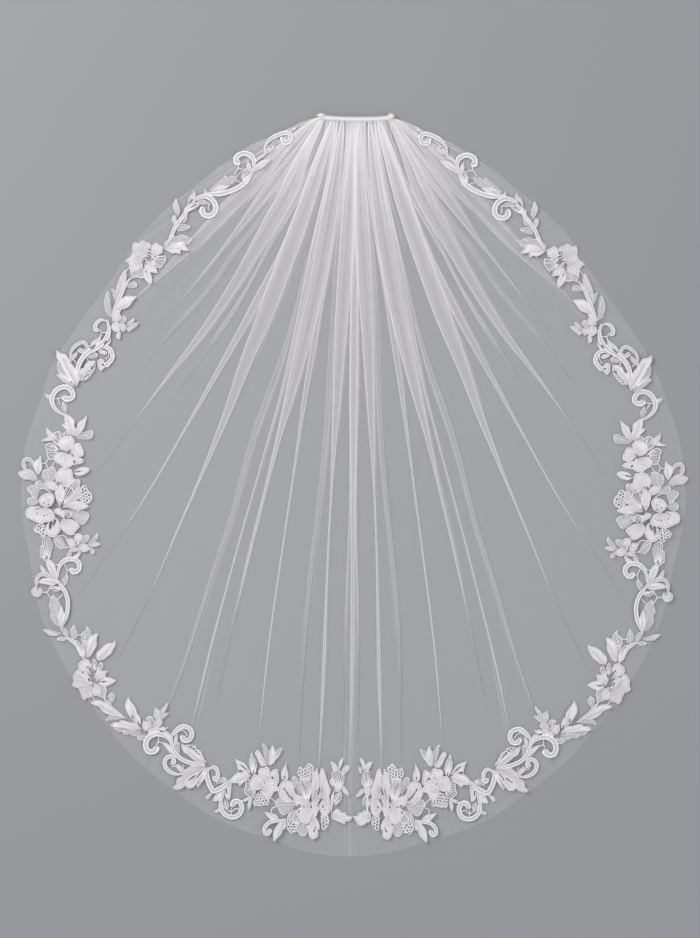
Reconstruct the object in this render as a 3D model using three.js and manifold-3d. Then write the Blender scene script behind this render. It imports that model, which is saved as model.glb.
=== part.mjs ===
// A bridal veil laid flat and spread as a round fan, with a border of corded floral lace.
// Millimetres, +Z up. +X is the right of the photo and +Y runs from the tail to the comb.
import * as THREE from "three";
import { mergeVertices } from "three/addons/utils/BufferGeometryUtils.js";
import Module from "manifold-3d";

const wasm = await Module();
wasm.setup();

// Real sizes
const COMB_LENGTH = 100; // a usual 4 inch veil comb
const COMB_BAR = 7; // height of the bar in the plane of the veil
const COMB_THICK = 2.2;
const TOOTH_COUNT = 17;
const TOOTH_WIDTH = 2.6;
const TOOTH_LENGTH = 34;
const GAP = 0.35; // between pieces
const NET_WALL = 1.4; // measured straight up, so that the slopes of the pleats keep a 1 mm wall
const PLEAT_RISE = 6.5; // tallest pleat
const LACE_FLAT = 1.2; // wall of net and bars in the lace
const LACE_RAISED = 2.1; // wall of the satin stitched petals and leaves
const HEADER_RISE = 7;

// Photo frame, in pixels of 700 by 938
const MM_PER_PIXEL = 1.38; // the comb is 75 pixels long with the gathers drawn over its ends
const AXIS_TOP = [356, 117]; // middle of the comb's upper edge
const AXIS_TILT = 0.00812; // the veil is turned by half a degree in the photo
const TOP_Y = 506.2; // places the middle of the whole at the origin
const HEADER_HALF = 37.5; // half length of the gathered band
const HEADER_DEEP = 6;
const HEADER_SAG = 2.5;

// Half width of the spread net, in pixels
// columns: distance below the comb's upper edge, half width
const NET_EDGE = [
  [3, 39], [6, 54], [13, 67], [20, 85], [32, 108], [50, 134], [70, 160], [96, 192],
  [123, 217], [163, 242], [203, 271], [243, 298], [283, 313], [323, 326], [363, 331],
  [403, 330.5], [443, 322], [483, 315.5], [523, 301], [563, 279.5], [603, 250],
  [643, 216], [683, 165], [708, 124], [723, 79], [734, 45], [739, 0],
];

// Flattened pleats on the left half, from the outside in, in photo pixels
// columns: start x, start y, end x, end y, width, rise as a share of the tallest
const PLEATS = [
  [299, 124, 268, 136, 3, 0.2],
  [296, 127, 238, 163, 4, 0.2],
  [290, 130, 200, 212, 6, 0.4],
  [286, 146, 137, 305, 8, 0.7],
  [269, 189, 175, 320, 9, 0.7],
  [302, 172, 134, 427, 13, 0.9],
  [300, 200, 143, 440, 5, 0.8],
  [317, 153, 158, 588, 17, 1.0],
  [322, 200, 188, 730, 10, 0.9],
  [325, 240, 238, 605, 7, 0.7],
  [328, 250, 261, 743, 6, 0.8],
  [333, 270, 305, 658, 7, 0.6],
  [338, 300, 321, 761, 9, 0.9],
  [349, 330, 345, 664, 6, 0.7],
];

// Lace of the left half, in photo pixels; the right half is its mirror image
// columns: kind, filling, width, then points: base to tip for leaf and petal, the middle line
// for scroll, stem and bar, and x, y with the width as the size across for disc, hole and bead
const LACE = {
  scroll_top: [
    ["scroll", "satin", 4, 265,153, 270,139, 283,132.5, 291,135, 288,143.5, 281.5,140],
    ["bar", "cord", 2, 265,154, 262,157, 257,161],
    ["leaf", "satin", 8, 252,170, 270.5,159],
  ],
  scroll_shoulder: [
    ["scroll", "satin", 5, 253,172, 254.5,160, 247,152.5, 236,158.5, 239,163],
    ["leaf", "ribs", 7, 243,186, 247.5,169.5],
    ["stem", "satin", 3.5, 252,172, 244,185, 228,192.5, 208,192.5],
    ["leaf", "net", 9, 209,191, 237,175],
    ["leaf", "satin", 8, 211,192, 229,186],
  ],
  sprig_shoulder: [
    ["scroll", "satin", 4, 196,199, 209,197.5, 216,207.5, 209,216.5, 203,211],
    ["stem", "satin", 4, 203,196, 190,205, 183,219, 173,233, 165,246],
    ["leaf", "grey", 7, 190,205, 193.5,190.5],
    ["leaf", "grey", 7, 179,217, 176,199.5],
    ["leaf", "net", 7, 176,228, 190.5,227],
    ["leaf", "net", 9, 163,248, 192.5,237.5],
    ["leaf", "satin", 12, 163,248.5, 188.5,251],
  ],
  flower_shoulder: [
    ["heart", "satin", 8, 146,260],
    ["petal", "net", 19, 146,257, 139,242],
    ["petal", "grey", 12, 146,258, 126,262],
    ["petal", "satin", 12, 150,256, 157,244.5],
    ["petal", "ribs", 13, 149,259, 165,261],
    ["petal", "satin", 10, 147,263, 157,273],
    ["leaf", "satin", 8, 144,266, 150,284],
    ["petal", "net", 13, 143,264, 134,278],
    ["petal", "satin", 9, 143,262, 131,268],
    ["hole", "open", 2.4, 148.5,252.5],
  ],
  spray_upper: [
    ["leaf", "satin", 7, 124,285, 137,284.5],
    ["leaf", "grey", 9, 116,303, 124,270],
    ["stem", "satin", 3, 129,279, 124,288, 119,298, 115,306, 112,316],
    ["leaf", "net", 12, 112,318, 108,291.5],
    ["leaf", "satin", 10, 115,310, 136.5,297.5],
    ["petal", "satin", 10, 113,320, 121,312],
    ["petal", "satin", 12, 112,322, 122,327],
    ["petal", "satin", 9, 112,324, 118.5,334],
  ],
  scroll_upper: [
    ["scroll", "satin", 3.5, 108,325, 100,320.5, 94.5,328, 98,330.5],
    ["stem", "satin", 4, 107,322, 107.5,338, 96,349, 82,358, 77,372, 76.5,381],
    ["leaf", "satin", 7, 91,350, 100,336],
    ["scroll", "satin", 4, 98,350, 111,350, 109,364, 99,364, 102,362],
    ["leaf", "half", 11, 77,380, 95,361.5],
    ["leaf", "grey", 16, 76,386, 57,351],
    ["leaf", "grey", 9, 74,386, 57.5,375.5],
    ["scroll", "satin", 3.5, 71,370, 73,349, 84,342, 85,351, 81,350],
    ["disc", "satin", 8, 76,383],
  ],
  scroll_side: [
    ["scroll", "satin", 5, 68,416, 54,408, 53,394, 64,387, 73,393, 66,398],
    ["leaf", "satin", 13, 74,436, 66,415],
    ["leaf", "satin", 6, 72,435, 62,425],
    ["leaf", "satin", 9, 75,437, 87,416.5],
    ["leaf", "net", 10, 74,438, 93.5,431],
  ],
  flower_upper: [
    ["heart", "satin", 8, 66,452],
    ["leaf", "satin", 6, 55,441, 47,428.5],
    ["petal", "ribs", 22, 64,450, 60,432],
    ["petal", "coarse", 16, 62,452, 45.5,450],
    ["petal", "satin", 16, 66,454, 67,437],
    ["petal", "satin", 14, 67,451, 61,465],
    ["petal", "satin", 10, 68,452, 67,467],
    ["petal", "satin", 15, 67,452, 84,452],
    ["petal", "satin", 9, 69,453, 83.5,461],
    ["hole", "open", 2.4, 69,453],
  ],
  flower_side: [
    ["scroll", "grey", 3.5, 34,467, 31,461, 27,459, 23.5,462, 25,466.5],
    ["leaf", "satin", 9, 38,476, 41,457],
    ["leaf", "grey", 10, 38,480, 18,473],
    ["petal", "net", 13, 53,489, 48,467],
    ["petal", "satin", 18, 62,488, 63,468],
    ["leaf", "satin", 8, 70,476, 90,469.5],
    ["petal", "net", 18, 55,492, 29,488],
    ["petal", "satin", 16, 48,508, 47,493],
    ["petal", "ribs", 13, 60,506, 76,489],
    ["petal", "coarse", 18, 72,501, 92,495],
    ["petal", "satin", 19, 62,508, 89,510],
    ["petal", "satin", 25, 52,506, 30,518],
    ["petal", "coarse", 12, 46,517, 35,530],
    ["petal", "satin", 16, 54,514, 52,537],
    ["petal", "satin", 19, 61,514, 70,535],
    ["heart", "satin", 12, 60,501],
    ["hole", "open", 6, 44,492.5],
    ["hole", "open", 2.4, 37,514],
    ["hole", "open", 2.4, 50,524],
    ["hole", "open", 2.4, 55,521],
  ],
  sprig_side: [
    ["heart", "satin", 5, 78,543],
    ["leaf", "net", 11, 47,558, 45,536],
    ["leaf", "net", 9, 52,538, 67,546.5],
    ["petal", "satin", 8, 77,543, 69.5,542],
    ["petal", "satin", 8, 78,543, 78,536],
    ["petal", "net", 7, 79,543, 86,537],
    ["petal", "satin", 8, 79,544, 85,549],
    ["petal", "net", 7, 78,544, 76,551],
  ],
  scroll_lower: [
    ["leaf", "satin", 9, 57,580, 45,559],
    ["scroll", "satin", 4, 58,580, 61,564, 72,559, 80.5,565, 75,571, 73,567],
    ["scroll", "grey", 4, 56,580, 46,575, 39,575, 36.5,580, 36.5,589],
    ["disc", "grey", 8, 37,592],
    ["leaf", "satin", 7, 57,582, 39,582.5],
    ["leaf", "ribs", 8, 63,591, 50,587],
    ["stem", "satin", 3.5, 57,580, 65,592, 67.5,610, 61,628],
    ["leaf", "net", 13, 61,629, 52.5,596],
    ["leaf", "satin", 8, 62,628, 61,606],
  ],
  sprig_lower: [
    ["leaf", "net", 7, 73,640, 74,625],
    ["stem", "satin", 3, 66,637, 74,641, 79,648, 81,655, 85,659],
    ["leaf", "ribs", 7, 85,657, 78,641],
    ["leaf", "net", 9, 84,652, 86.5,626.5],
    ["leaf", "satin", 12, 85,658, 98,634.5],
  ],
  flower_lower: [
    ["heart", "satin", 8, 95,680],
    ["leaf", "satin", 11, 97,661, 115.5,641.5],
    ["petal", "satin", 13, 92,676, 84,660],
    ["petal", "grey", 19, 94,680, 73.5,681],
    ["petal", "net", 14, 94,682, 84,699],
    ["petal", "ribs", 16, 94,677, 98.5,660],
    ["petal", "satin", 10, 97,678, 107,671],
    ["petal", "satin", 10, 97,681, 116,681],
    ["petal", "net", 14, 98,682, 105,694],
    ["petal", "satin", 12, 95,683, 97,698],
    ["hole", "open", 2.2, 90.5,680.5],
  ],
  stem_lower: [
    ["leaf", "satin", 11, 121,718, 90.5,702],
    ["stem", "satin", 3, 107,701, 111,706, 117,711, 125,718],
    ["leaf", "net", 7, 111,705, 113,692.5],
    ["leaf", "satin", 13, 139,727, 128.5,697],
    ["leaf", "half", 14, 145,729, 112,726],
  ],
  flower_small: [
    ["heart", "satin", 5, 151,726],
    ["petal", "satin", 8, 151,727, 144.5,721],
    ["petal", "satin", 9, 151,727, 152,735],
    ["petal", "satin", 8, 151,727, 158,729],
    ["petal", "net", 8, 150,727, 150,716],
    ["petal", "grey", 8, 151,726, 162,722],
    ["scroll", "satin", 4.5, 172,742, 160,734, 147,740, 149,751, 156.5,748.5],
  ],
  scroll_hem: [
    ["scroll", "satin", 3, 173,743, 175,730, 185,725, 193,735, 185,740],
    ["stem", "satin", 4, 171,738, 175,753, 187,762, 205,765],
    ["leaf", "satin", 6, 173,754, 163.5,744.5],
    ["scroll", "satin", 3.5, 181,771, 169,771, 165,760, 173,755.5],
    ["leaf", "satin", 14, 206,764, 182,746],
    ["leaf", "coarse", 8, 207,764, 190,747],
    ["leaf", "grey", 14, 207,765, 174,787.5],
    ["leaf", "satin", 12, 207,766, 188,787],
    ["leaf", "ribs", 8, 208,767, 197.5,787],
  ],
  ring_hem: [
    ["stem", "satin", 4, 208,768, 208,781, 214,790.5, 224,785, 229,779.5],
    ["scroll", "satin", 3, 209,770.5, 213,768, 216,769, 217.5,773, 216,779],
    ["leaf", "net", 8, 215,783, 229,779],
    ["leaf", "satin", 7, 222,787, 213,800.5],
    ["leaf", "satin", 7, 229,782, 228,800],
    ["leaf", "satin", 7, 224,787, 227,809],
    ["scroll", "satin", 4.5, 224,796, 222,811.5, 233,817, 242,808, 236,801.5, 233,805],
    ["disc", "satin", 7, 235,805],
    ["leaf", "satin", 11, 252,775, 229,779.5],
    ["leaf", "satin", 8, 251,774, 234.5,758.5],
  ],
  flower_hem: [
    ["heart", "satin", 9, 262,787],
    ["disc", "satin", 8, 267,765],
    ["leaf", "net", 9, 268,766, 255.5,750],
    ["leaf", "satin", 7, 268.5,766, 272,744.5],
    ["leaf", "net", 8, 269,766, 282.5,748],
    ["leaf", "ribs", 8, 255,776, 251.5,753],
    ["petal", "satin", 15, 264,784, 265,767],
    ["petal", "satin", 9, 267,783, 277,769],
    ["petal", "grey", 16, 263,786, 251,780],
    ["petal", "satin", 16, 263,794, 275,781],
    ["petal", "ribs", 15, 254,788, 244,787],
    ["petal", "coarse", 16, 261,788, 260,806],
    ["leaf", "satin", 6, 251,794, 241,800],
    ["hole", "open", 2.2, 265,781.5],
    ["hole", "open", 2.6, 256,802],
  ],
  flower_bottom: [
    ["heart", "satin", 12, 309,806],
    ["leaf", "satin", 6.5, 284.5,785, 286.5,762],
    ["petal", "satin", 16, 293,803, 285,780],
    ["petal", "net", 9, 299,795, 293,776],
    ["petal", "coarse", 17, 307,783, 305,763],
    ["petal", "satin", 9, 313,802, 316,768.5],
    ["petal", "satin", 10, 326,806, 321.5,768],
    ["petal", "ribs", 14, 307,802, 303,777],
    ["petal", "satin", 16, 324,798, 318,828],
    ["petal", "ribs", 15, 295,802, 276,808],
    ["petal", "satin", 14, 311,803, 299,822],
    ["petal", "net", 11, 298,818, 291,833],
    ["petal", "net", 10, 304,818, 302,836],
    ["petal", "satin", 13, 313,812, 313,839],
    ["petal", "coarse", 10, 322,812, 323.5,830],
    ["leaf", "satin", 9, 280,820, 264.5,811],
    ["leaf", "satin", 10, 287,818, 274,841],
    ["scroll", "satin", 4, 288,819, 270.5,821, 264,831, 270.5,830],
    ["hole", "open", 3, 306,770],
    ["hole", "open", 2.2, 299.5,805],
    ["hole", "open", 2.4, 317,805],
  ],
  spray_bottom: [
    ["leaf", "satin", 9, 336,786, 330.5,761.5],
    ["leaf", "satin", 6, 338,784, 342.5,757.5],
    ["leaf", "satin", 9, 337,783, 350,767],
    ["petal", "satin", 12, 336,778, 336,792],
    ["leaf", "ribs", 9, 341,790, 330.5,806],
    ["leaf", "satin", 13, 331,815, 352,817],
    ["stem", "cord", 2, 333,792, 334,800, 333,812],
  ],
};

// The small spray at the bottom middle differs on the right; given here as if on the left
const SPRAY_ON_THE_RIGHT = [
  ["leaf", "satin", 8, 335,783, 329.6,761.5],
  ["leaf", "satin", 6, 337,783, 342.5,757.5],
  ["leaf", "satin", 7, 335,779, 344,767],
  ["petal", "satin", 10, 335,778, 335,794],
  ["leaf", "satin", 6, 338,789, 345.5,796],
  ["leaf", "ribs", 8, 331,792, 335,805],
  ["leaf", "satin", 13, 329,815, 346,817],
  ["stem", "cord", 2, 333,792, 334,800, 333,812],
];

// Turns photo pixels into the part's plane
function place(x, y) {
  const dx = x - AXIS_TOP[0],
    dy = y - AXIS_TOP[1];
  return [MM_PER_PIXEL * (dx + AXIS_TILT * dy), TOP_Y - MM_PER_PIXEL * (dy - AXIS_TILT * dx)];
}

const mix = (a, b, t) => a + (b - a) * t;
const smooth = (t) => {
  const c = Math.min(1, Math.max(0, t));
  return c * c * (3 - 2 * c);
};
const unit = (dx, dy) => {
  const n = Math.hypot(dx, dy) || 1;
  return [dx / n, dy / n];
};

// Solids
function solidFrom(geometry) {
  geometry.deleteAttribute("normal");
  geometry.deleteAttribute("uv");
  const g = mergeVertices(geometry, 1e-3);
  return new wasm.Manifold(
    new wasm.Mesh({
      numProp: 3,
      vertProperties: g.attributes.position.array,
      triVerts: new Uint32Array(g.index.array),
    }),
  );
}

function areaOf(points) {
  return points.reduce((sum, [x, y], i) => {
    const [nx, ny] = points[(i + 1) % points.length];
    return sum + (x * ny - nx * y) / 2;
  }, 0);
}

function slab(points, low, high) {
  const ring = areaOf(points) < 0 ? [...points].reverse() : points;
  const shape = new THREE.Shape(ring.map(([x, y]) => new THREE.Vector2(x, y)));
  const g = new THREE.ExtrudeGeometry(shape, { depth: high - low, bevelEnabled: false });
  g.translate(0, 0, low);
  return solidFrom(g);
}

function join(solids) {
  return solids.reduce((all, s) => (all ? all.add(s) : s), null);
}

// Closed walls given as rings of points, joined ring to ring and capped at both ends
function skin(rings) {
  const n = rings[0].length,
    vertices = rings.flat(2),
    faces = [];
  for (let r = 0; r + 1 < rings.length; r++)
    for (let i = 0; i < n; i++) {
      const a = r * n + i,
        b = r * n + ((i + 1) % n);
      faces.push(a, b, b + n, a, b + n, a + n);
    }
  for (let i = 1; i + 1 < n; i++) {
    faces.push(0, i + 1, i);
    const e = (rings.length - 1) * n;
    faces.push(e, e + i, e + i + 1);
  }
  const g = new THREE.BufferGeometry();
  g.setAttribute("position", new THREE.Float32BufferAttribute(vertices, 3));
  g.setIndex(faces);
  return g;
}

// Flat outlines of the lace's pieces. extra widens a piece, to leave a gap round it.
function bladeOutline([x0, y0, x1, y1], width, extra, profile) {
  const [bx, by] = place(x0, y0),
    [tx, ty] = place(x1, y1),
    [ux, uy] = unit(tx - bx, ty - by),
    long = Math.hypot(tx - bx, ty - by) + 2 * extra,
    half = (width * MM_PER_PIXEL) / 2 + extra;
  const side = (sign) =>
    profile.map(([along, out]) => [
      bx - ux * extra + ux * long * along - uy * sign * half * out,
      by - uy * extra + uy * long * along + ux * sign * half * out,
    ]);
  const left = side(1),
    right = side(-1).reverse();
  const ends = profile.length - 1;
  const outline = [...left];
  right.forEach((p, i) => {
    const row = ends - i;
    if (profile[row][1] > 0) outline.push(p);
  });
  return outline;
}
// columns: share of the length, share of the half width
const LEAF = [[0, 0.2], [0.45, 1], [1, 0]];
const PETAL = [[0, 0.25], [0.7, 1], [1, 0.45]];

function lineOutline(points, width, extra) {
  const line = [];
  for (let i = 0; i < points.length; i += 2) line.push(place(points[i], points[i + 1]));
  const half = Math.max((width * MM_PER_PIXEL) / 2, 0.7) + extra;
  const left = [],
    right = [];
  line.forEach(([x, y], i) => {
    const [px, py] = line[Math.max(0, i - 1)],
      [nx, ny] = line[Math.min(line.length - 1, i + 1)],
      [ux, uy] = unit(nx - px, ny - py),
      end = i === 0 ? -extra : i === line.length - 1 ? extra : 0,
      h = half * (i === 0 || i === line.length - 1 ? 0.6 : 1);
    left.push([x + ux * end - uy * h, y + uy * end + ux * h]);
    right.push([x + ux * end + uy * h, y + uy * end - ux * h]);
  });
  return [...left, ...right.reverse()];
}

function discOutline([x, y], width, extra, corners = 6) {
  const [cx, cy] = place(x, y),
    r = (width * MM_PER_PIXEL) / 2 + extra;
  return Array.from({ length: corners }, (_, i) => {
    const a = (2 * Math.PI * (i + 0.5)) / corners;
    return [cx + r * Math.cos(a), cy + r * Math.sin(a)];
  });
}

function outlinesOf([kind, , width, ...points], extra = 0) {
  if (kind === "leaf") return [bladeOutline(points, width, extra, LEAF)];
  if (kind === "petal") return [bladeOutline(points, width, extra, PETAL)];
  if (kind === "disc") return [discOutline(points, width, extra)];
  if (kind === "stem") return [lineOutline(points, width, extra)];
  if (kind === "bar") return width < 1.5 ? [] : [lineOutline(points, width, extra)];
  if (kind === "scroll")
    return [
      ...linePieces(points, width, extra),
      discOutline(points.slice(-2), width * 1.5, extra, 5),
    ];
  return [];
}

// A flower's petals as one lobed outline, found by looking outwards from its heart: both
// shoulders and the tip of each petal, and the deepest place between two petals
function rosette(heart, petals, extra) {
  const [cx, cy] = place(...heart),
    rings = petals.flatMap((row) => outlinesOf(row));
  const reach = (angle) => {
    const dx = Math.cos(angle),
      dy = Math.sin(angle);
    let far = 4;
    for (const ring of rings)
      ring.forEach(([ax, ay], i) => {
        const [bx, by] = ring[(i + 1) % ring.length],
          ex = bx - ax,
          ey = by - ay,
          det = dx * ey - dy * ex;
        if (Math.abs(det) < 1e-9) return;
        const t = ((ax - cx) * ey - (ay - cy) * ex) / det,
          s = ((ax - cx) * dy - (ay - cy) * dx) / det;
        if (s >= 0 && s <= 1 && t > far) far = t;
      });
    return far;
  };
  const tips = petals
    .map(([, , width, , , x, y]) => {
      const [px, py] = place(x, y);
      return {
        angle: Math.atan2(py - cy, px - cx),
        spread: Math.atan((0.36 * width * MM_PER_PIXEL) / Math.hypot(px - cx, py - cy)),
      };
    })
    .sort((a, b) => a.angle - b.angle);
  const angles = tips.flatMap(({ angle, spread }, i) => {
    const next = tips[(i + 1) % tips.length].angle + (i + 1 === tips.length ? 2 * Math.PI : 0);
    const between = [0.3, 0.4, 0.5, 0.6, 0.7].map((t) => mix(angle, next, t));
    between.sort((a, b) => reach(a) - reach(b));
    return [angle - spread, angle, angle + spread, between[0]];
  });
  const turn = 2 * Math.PI,
    round = angles.map((a) => (a + 2 * turn) % turn).sort((a, b) => a - b);
  const kept = round.filter((a, i) => a - (i ? round[i - 1] : round[round.length - 1] - turn) > 0.06);
  return kept.map((a) => {
    const r = reach(a) + extra;
    return [cx + r * Math.cos(a), cy + r * Math.sin(a)];
  });
}

function motifOutlines(rows, extra = 0) {
  const heart = rows.find(([kind]) => kind === "heart");
  if (!heart) return rows.flatMap((row) => outlinesOf(row, extra));
  return [
    rosette(heart.slice(-2), rows.filter(([kind]) => kind === "petal"), extra),
    ...rows.filter(([kind]) => kind !== "petal").flatMap((row) => outlinesOf(row, extra)),
  ];
}

// A scroll can curl over itself, so it is made in two lengths that share a step
function linePieces(points, width, extra) {
  const middle = 2 * Math.ceil(points.length / 4);
  return [
    lineOutline(points.slice(0, middle + 2), width, extra),
    lineOutline(points.slice(middle - 2), width, extra),
  ];
}

// Pleats as lines from the comb to the edge of the net
function edgeHalf(below) {
  if (below <= NET_EDGE[0][0]) return NET_EDGE[0][1];
  for (let i = 1; i < NET_EDGE.length; i++)
    if (below <= NET_EDGE[i][0]) {
      const [a, w] = NET_EDGE[i - 1],
        [b, v] = NET_EDGE[i];
      return mix(w, v, (below - a) / (b - a));
    }
  return -1;
}

function tilted(x, y) {
  const dx = x - AXIS_TOP[0],
    dy = y - AXIS_TOP[1];
  return [dx + AXIS_TILT * dy, dy - AXIS_TILT * dx];
}

// The point where a pleat's line leaves the net, in axis pixels
function leaving([x0, y0, x1, y1]) {
  const [sx, sy] = tilted(x0, y0),
    [ex, ey] = tilted(x1, y1),
    [ux, uy] = unit(ex - sx, ey - sy);
  let far = 0;
  const inside = (d) => Math.abs(ex + ux * d) < edgeHalf(ey + uy * d);
  while (inside(far)) far += 0.5;
  return [ex + ux * far, ey + uy * far];
}

// columns of the net, as lines through the comb, the start, the end and the edge
function pleatLines() {
  const count = PLEATS.length;
  return PLEATS.map((row, i) => {
    const comb = [-HEADER_HALF * (1 - (i + 0.5) / (count + 0.5)), HEADER_DEEP],
      edge = leaving(row),
      start = tilted(row[0], row[1]),
      end = tilted(row[2], row[3]);
    return { knots: [comb, start, end, edge], width: row[4], rise: row[5] };
  });
}

const STEPS = [0, 0.06, 0.15, 0.28, 0.45, 0.68, 1];

function alongKnots(knots, share) {
  const gaps = knots.slice(1).map((p, i) => Math.hypot(p[0] - knots[i][0], p[1] - knots[i][1]));
  let left = share * gaps.reduce((a, b) => a + b, 0);
  for (let i = 0; i < gaps.length; i++) {
    if (left <= gaps[i] || i === gaps.length - 1) {
      const t = Math.min(1, left / gaps[i]);
      return [mix(knots[i][0], knots[i + 1][0], t), mix(knots[i][1], knots[i + 1][1], t)];
    }
    left -= gaps[i];
  }
}

// Height of the net's lower face where it passes over the comb and its teeth
function liftOver(x, below) {
  const aside = Math.max(0, Math.abs(x) - 40),
    past = Math.max(0, below - 30);
  return 2.9 * smooth(1 - Math.hypot(aside, past) / 75);
}

function netColumns() {
  const lines = pleatLines();
  const crest = lines.map((line) => {
    const total = line.knots
      .slice(1)
      .map((p, i) => Math.hypot(p[0] - line.knots[i][0], p[1] - line.knots[i][1]));
    const all = total.reduce((a, b) => a + b, 0);
    return {
      path: STEPS.map((t) => alongKnots(line.knots, t)),
      fades: (all - total[2]) / all,
      width: line.width,
      rise: line.rise,
    };
  });
  const edgeLine = STEPS.map((t) => alongKnots([[-HEADER_HALF, HEADER_DEEP], [-49, 6.2]], t));
  const middle = STEPS.map((t) => [0, mix(HEADER_DEEP, 739, t)]);
  const columns = [{ path: edgeLine, height: STEPS.map(() => 0) }];
  crest.forEach((c, i) => {
    const before = i ? crest[i - 1].path : edgeLine,
      after = i + 1 < crest.length ? crest[i + 1].path : middle;
    const foot = (other, sign) => ({
      path: c.path.map(([x, y], r) => {
        const [ox, oy] = other[r],
          away = Math.hypot(ox - x, oy - y) || 1,
          taper = mix(1, 0.45, Math.min(1, STEPS[r] / c.fades)),
          reach = Math.min(0.42 * away, Math.max(0.22 * away, (c.width / 2) * taper));
        return [mix(x, ox, reach / away), mix(y, oy, reach / away)];
      }),
      height: STEPS.map(() => 0),
      sign,
    });
    const low = foot(before, -1),
      high = foot(after, 1);
    const height = c.path.map(([x, y], r) => {
      const fade = Math.max(0, 1 - STEPS[r] / c.fades) ** 0.55,
        half =
          (MM_PER_PIXEL *
            Math.min(
              Math.hypot(low.path[r][0] - x, low.path[r][1] - y),
              Math.hypot(high.path[r][0] - x, high.path[r][1] - y),
            )) /
          1.05,
        inner = (edgeHalf(y) - Math.abs(x)) * MM_PER_PIXEL,
        underLace = 0.12 + 0.88 * smooth((inner - 45) / 60);
      return Math.min(PLEAT_RISE * c.rise * fade * underLace, half);
    });
    columns.push(low, { path: c.path, height }, high);
  });
  columns.push({ path: middle, height: STEPS.map(() => 0) });
  return columns;
}

function toPlane([x, y]) {
  return [MM_PER_PIXEL * x, TOP_Y - MM_PER_PIXEL * y];
}

function netSolid() {
  const half = netColumns();
  // the last row is put back on the edge, so that the outline stays true
  half.forEach((c) => {
    const last = c.path[c.path.length - 1];
    const deep = Math.min(738.9, last[1]);
    if (last[0] < 0) last[0] = -Math.max(edgeHalf(deep), 0.01);
  });
  const mirrored = half
    .slice(0, -1)
    .reverse()
    .map((c) => ({ path: c.path.map(([x, y]) => [-x, y]), height: c.height }));
  const columns = [...half, ...mirrored];
  const rings = columns.map((c) => {
    const low = c.path.map(([x, y], r) => {
      const [px, py] = toPlane([x, y]);
      return [px, py, liftOver(x, y) + c.height[r]];
    });
    const high = low.map(([x, y, z]) => [x, y, z + NET_WALL]);
    return [...high, ...low.reverse()];
  });
  return { geometry: skin(rings), rings };
}

const net = netSolid();

// Points all over the net's upper face, to find how high it is under a flat outline
const netTop = [];
for (let c = 0; c + 1 < net.rings.length; c++)
  for (let r = 0; r + 1 < STEPS.length; r++) {
    const [p, q] = net.rings[c].slice(r, r + 2),
      [u, v] = net.rings[c + 1].slice(r, r + 2);
    for (const [a, b, d] of [[p, u, v], [p, v, q]])
      for (let i = 0; i <= 8; i++)
        for (let j = 0; i + j <= 8; j++)
          netTop.push([0, 1, 2].map((k) => a[k] + ((b[k] - a[k]) * i + (d[k] - a[k]) * j) / 8));
      // the right half counts for the left one too, as its triangles lean the other way
  }
function highestUnder(points) {
  const xs = points.map((p) => p[0]),
    ys = points.map((p) => p[1]),
    spare = 4;
  const near = netTop.filter(
    ([x, y]) =>
      -Math.abs(x) > Math.min(...xs) - spare && -Math.abs(x) < Math.max(...xs) + spare &&
      y > Math.min(...ys) - spare && y < Math.max(...ys) + spare,
  );
  return near.reduce((most, p) => Math.max(most, p[2]), NET_WALL);
}

// Lace
function bar(from, to, width, low, high) {
  const [ux, uy] = unit(to[0] - from[0], to[1] - from[1]),
    h = width / 2,
    over = 1.6;
  const a = [from[0] - ux * over, from[1] - uy * over],
    b = [to[0] + ux * over, to[1] + uy * over];
  return slab(
    [
      [a[0] - uy * h, a[1] + ux * h], [a[0] + uy * h, a[1] - ux * h],
      [b[0] + uy * h, b[1] - ux * h], [b[0] - uy * h, b[1] + ux * h],
    ],
    low,
    high,
  );
}

function cornersOf(solid) {
  const m = solid.getMesh(),
    out = [];
  for (let i = 0; i < m.numVert; i++) out.push([m.vertProperties[3 * i], m.vertProperties[3 * i + 1]]);
  return out;
}

// Ties loose pieces of a motif to its largest piece with short thread bars
function tied(solid, low) {
  const large = (s) =>
    solidFrom(meshFrom(s))
      .decompose()
      .filter((b) => b.volume() > 12)
      .sort((a, b) => b.volume() - a.volume());
  let bodies = large(solid);
  while (bodies.length > 1) {
    const [main, ...rest] = bodies;
    const mine = cornersOf(main);
    let best = { far: Infinity };
    rest.forEach((b) => {
      for (const p of cornersOf(b))
        for (const q of mine) {
          const far = Math.hypot(p[0] - q[0], p[1] - q[1]);
          if (far < best.far) best = { far, p, q, b };
        }
    });
    const linked = main.add(best.b).add(bar(best.p, best.q, 2, low, low + LACE_FLAT));
    bodies = large(join([linked, ...rest.filter((b) => b !== best.b)]));
  }
  return bodies[0];
}

// Joined slabs keep the seams between them, so they are made too tall and cut to one flat level
function levelled(solid, low, high) {
  const { min, max } = solid.boundingBox(),
    room = [
      [min[0] - 2, min[1] - 2], [max[0] + 2, min[1] - 2],
      [max[0] + 2, max[1] + 2], [min[0] - 2, max[1] + 2],
    ];
  return solid.intersect(slab(room, low, high));
}

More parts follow.
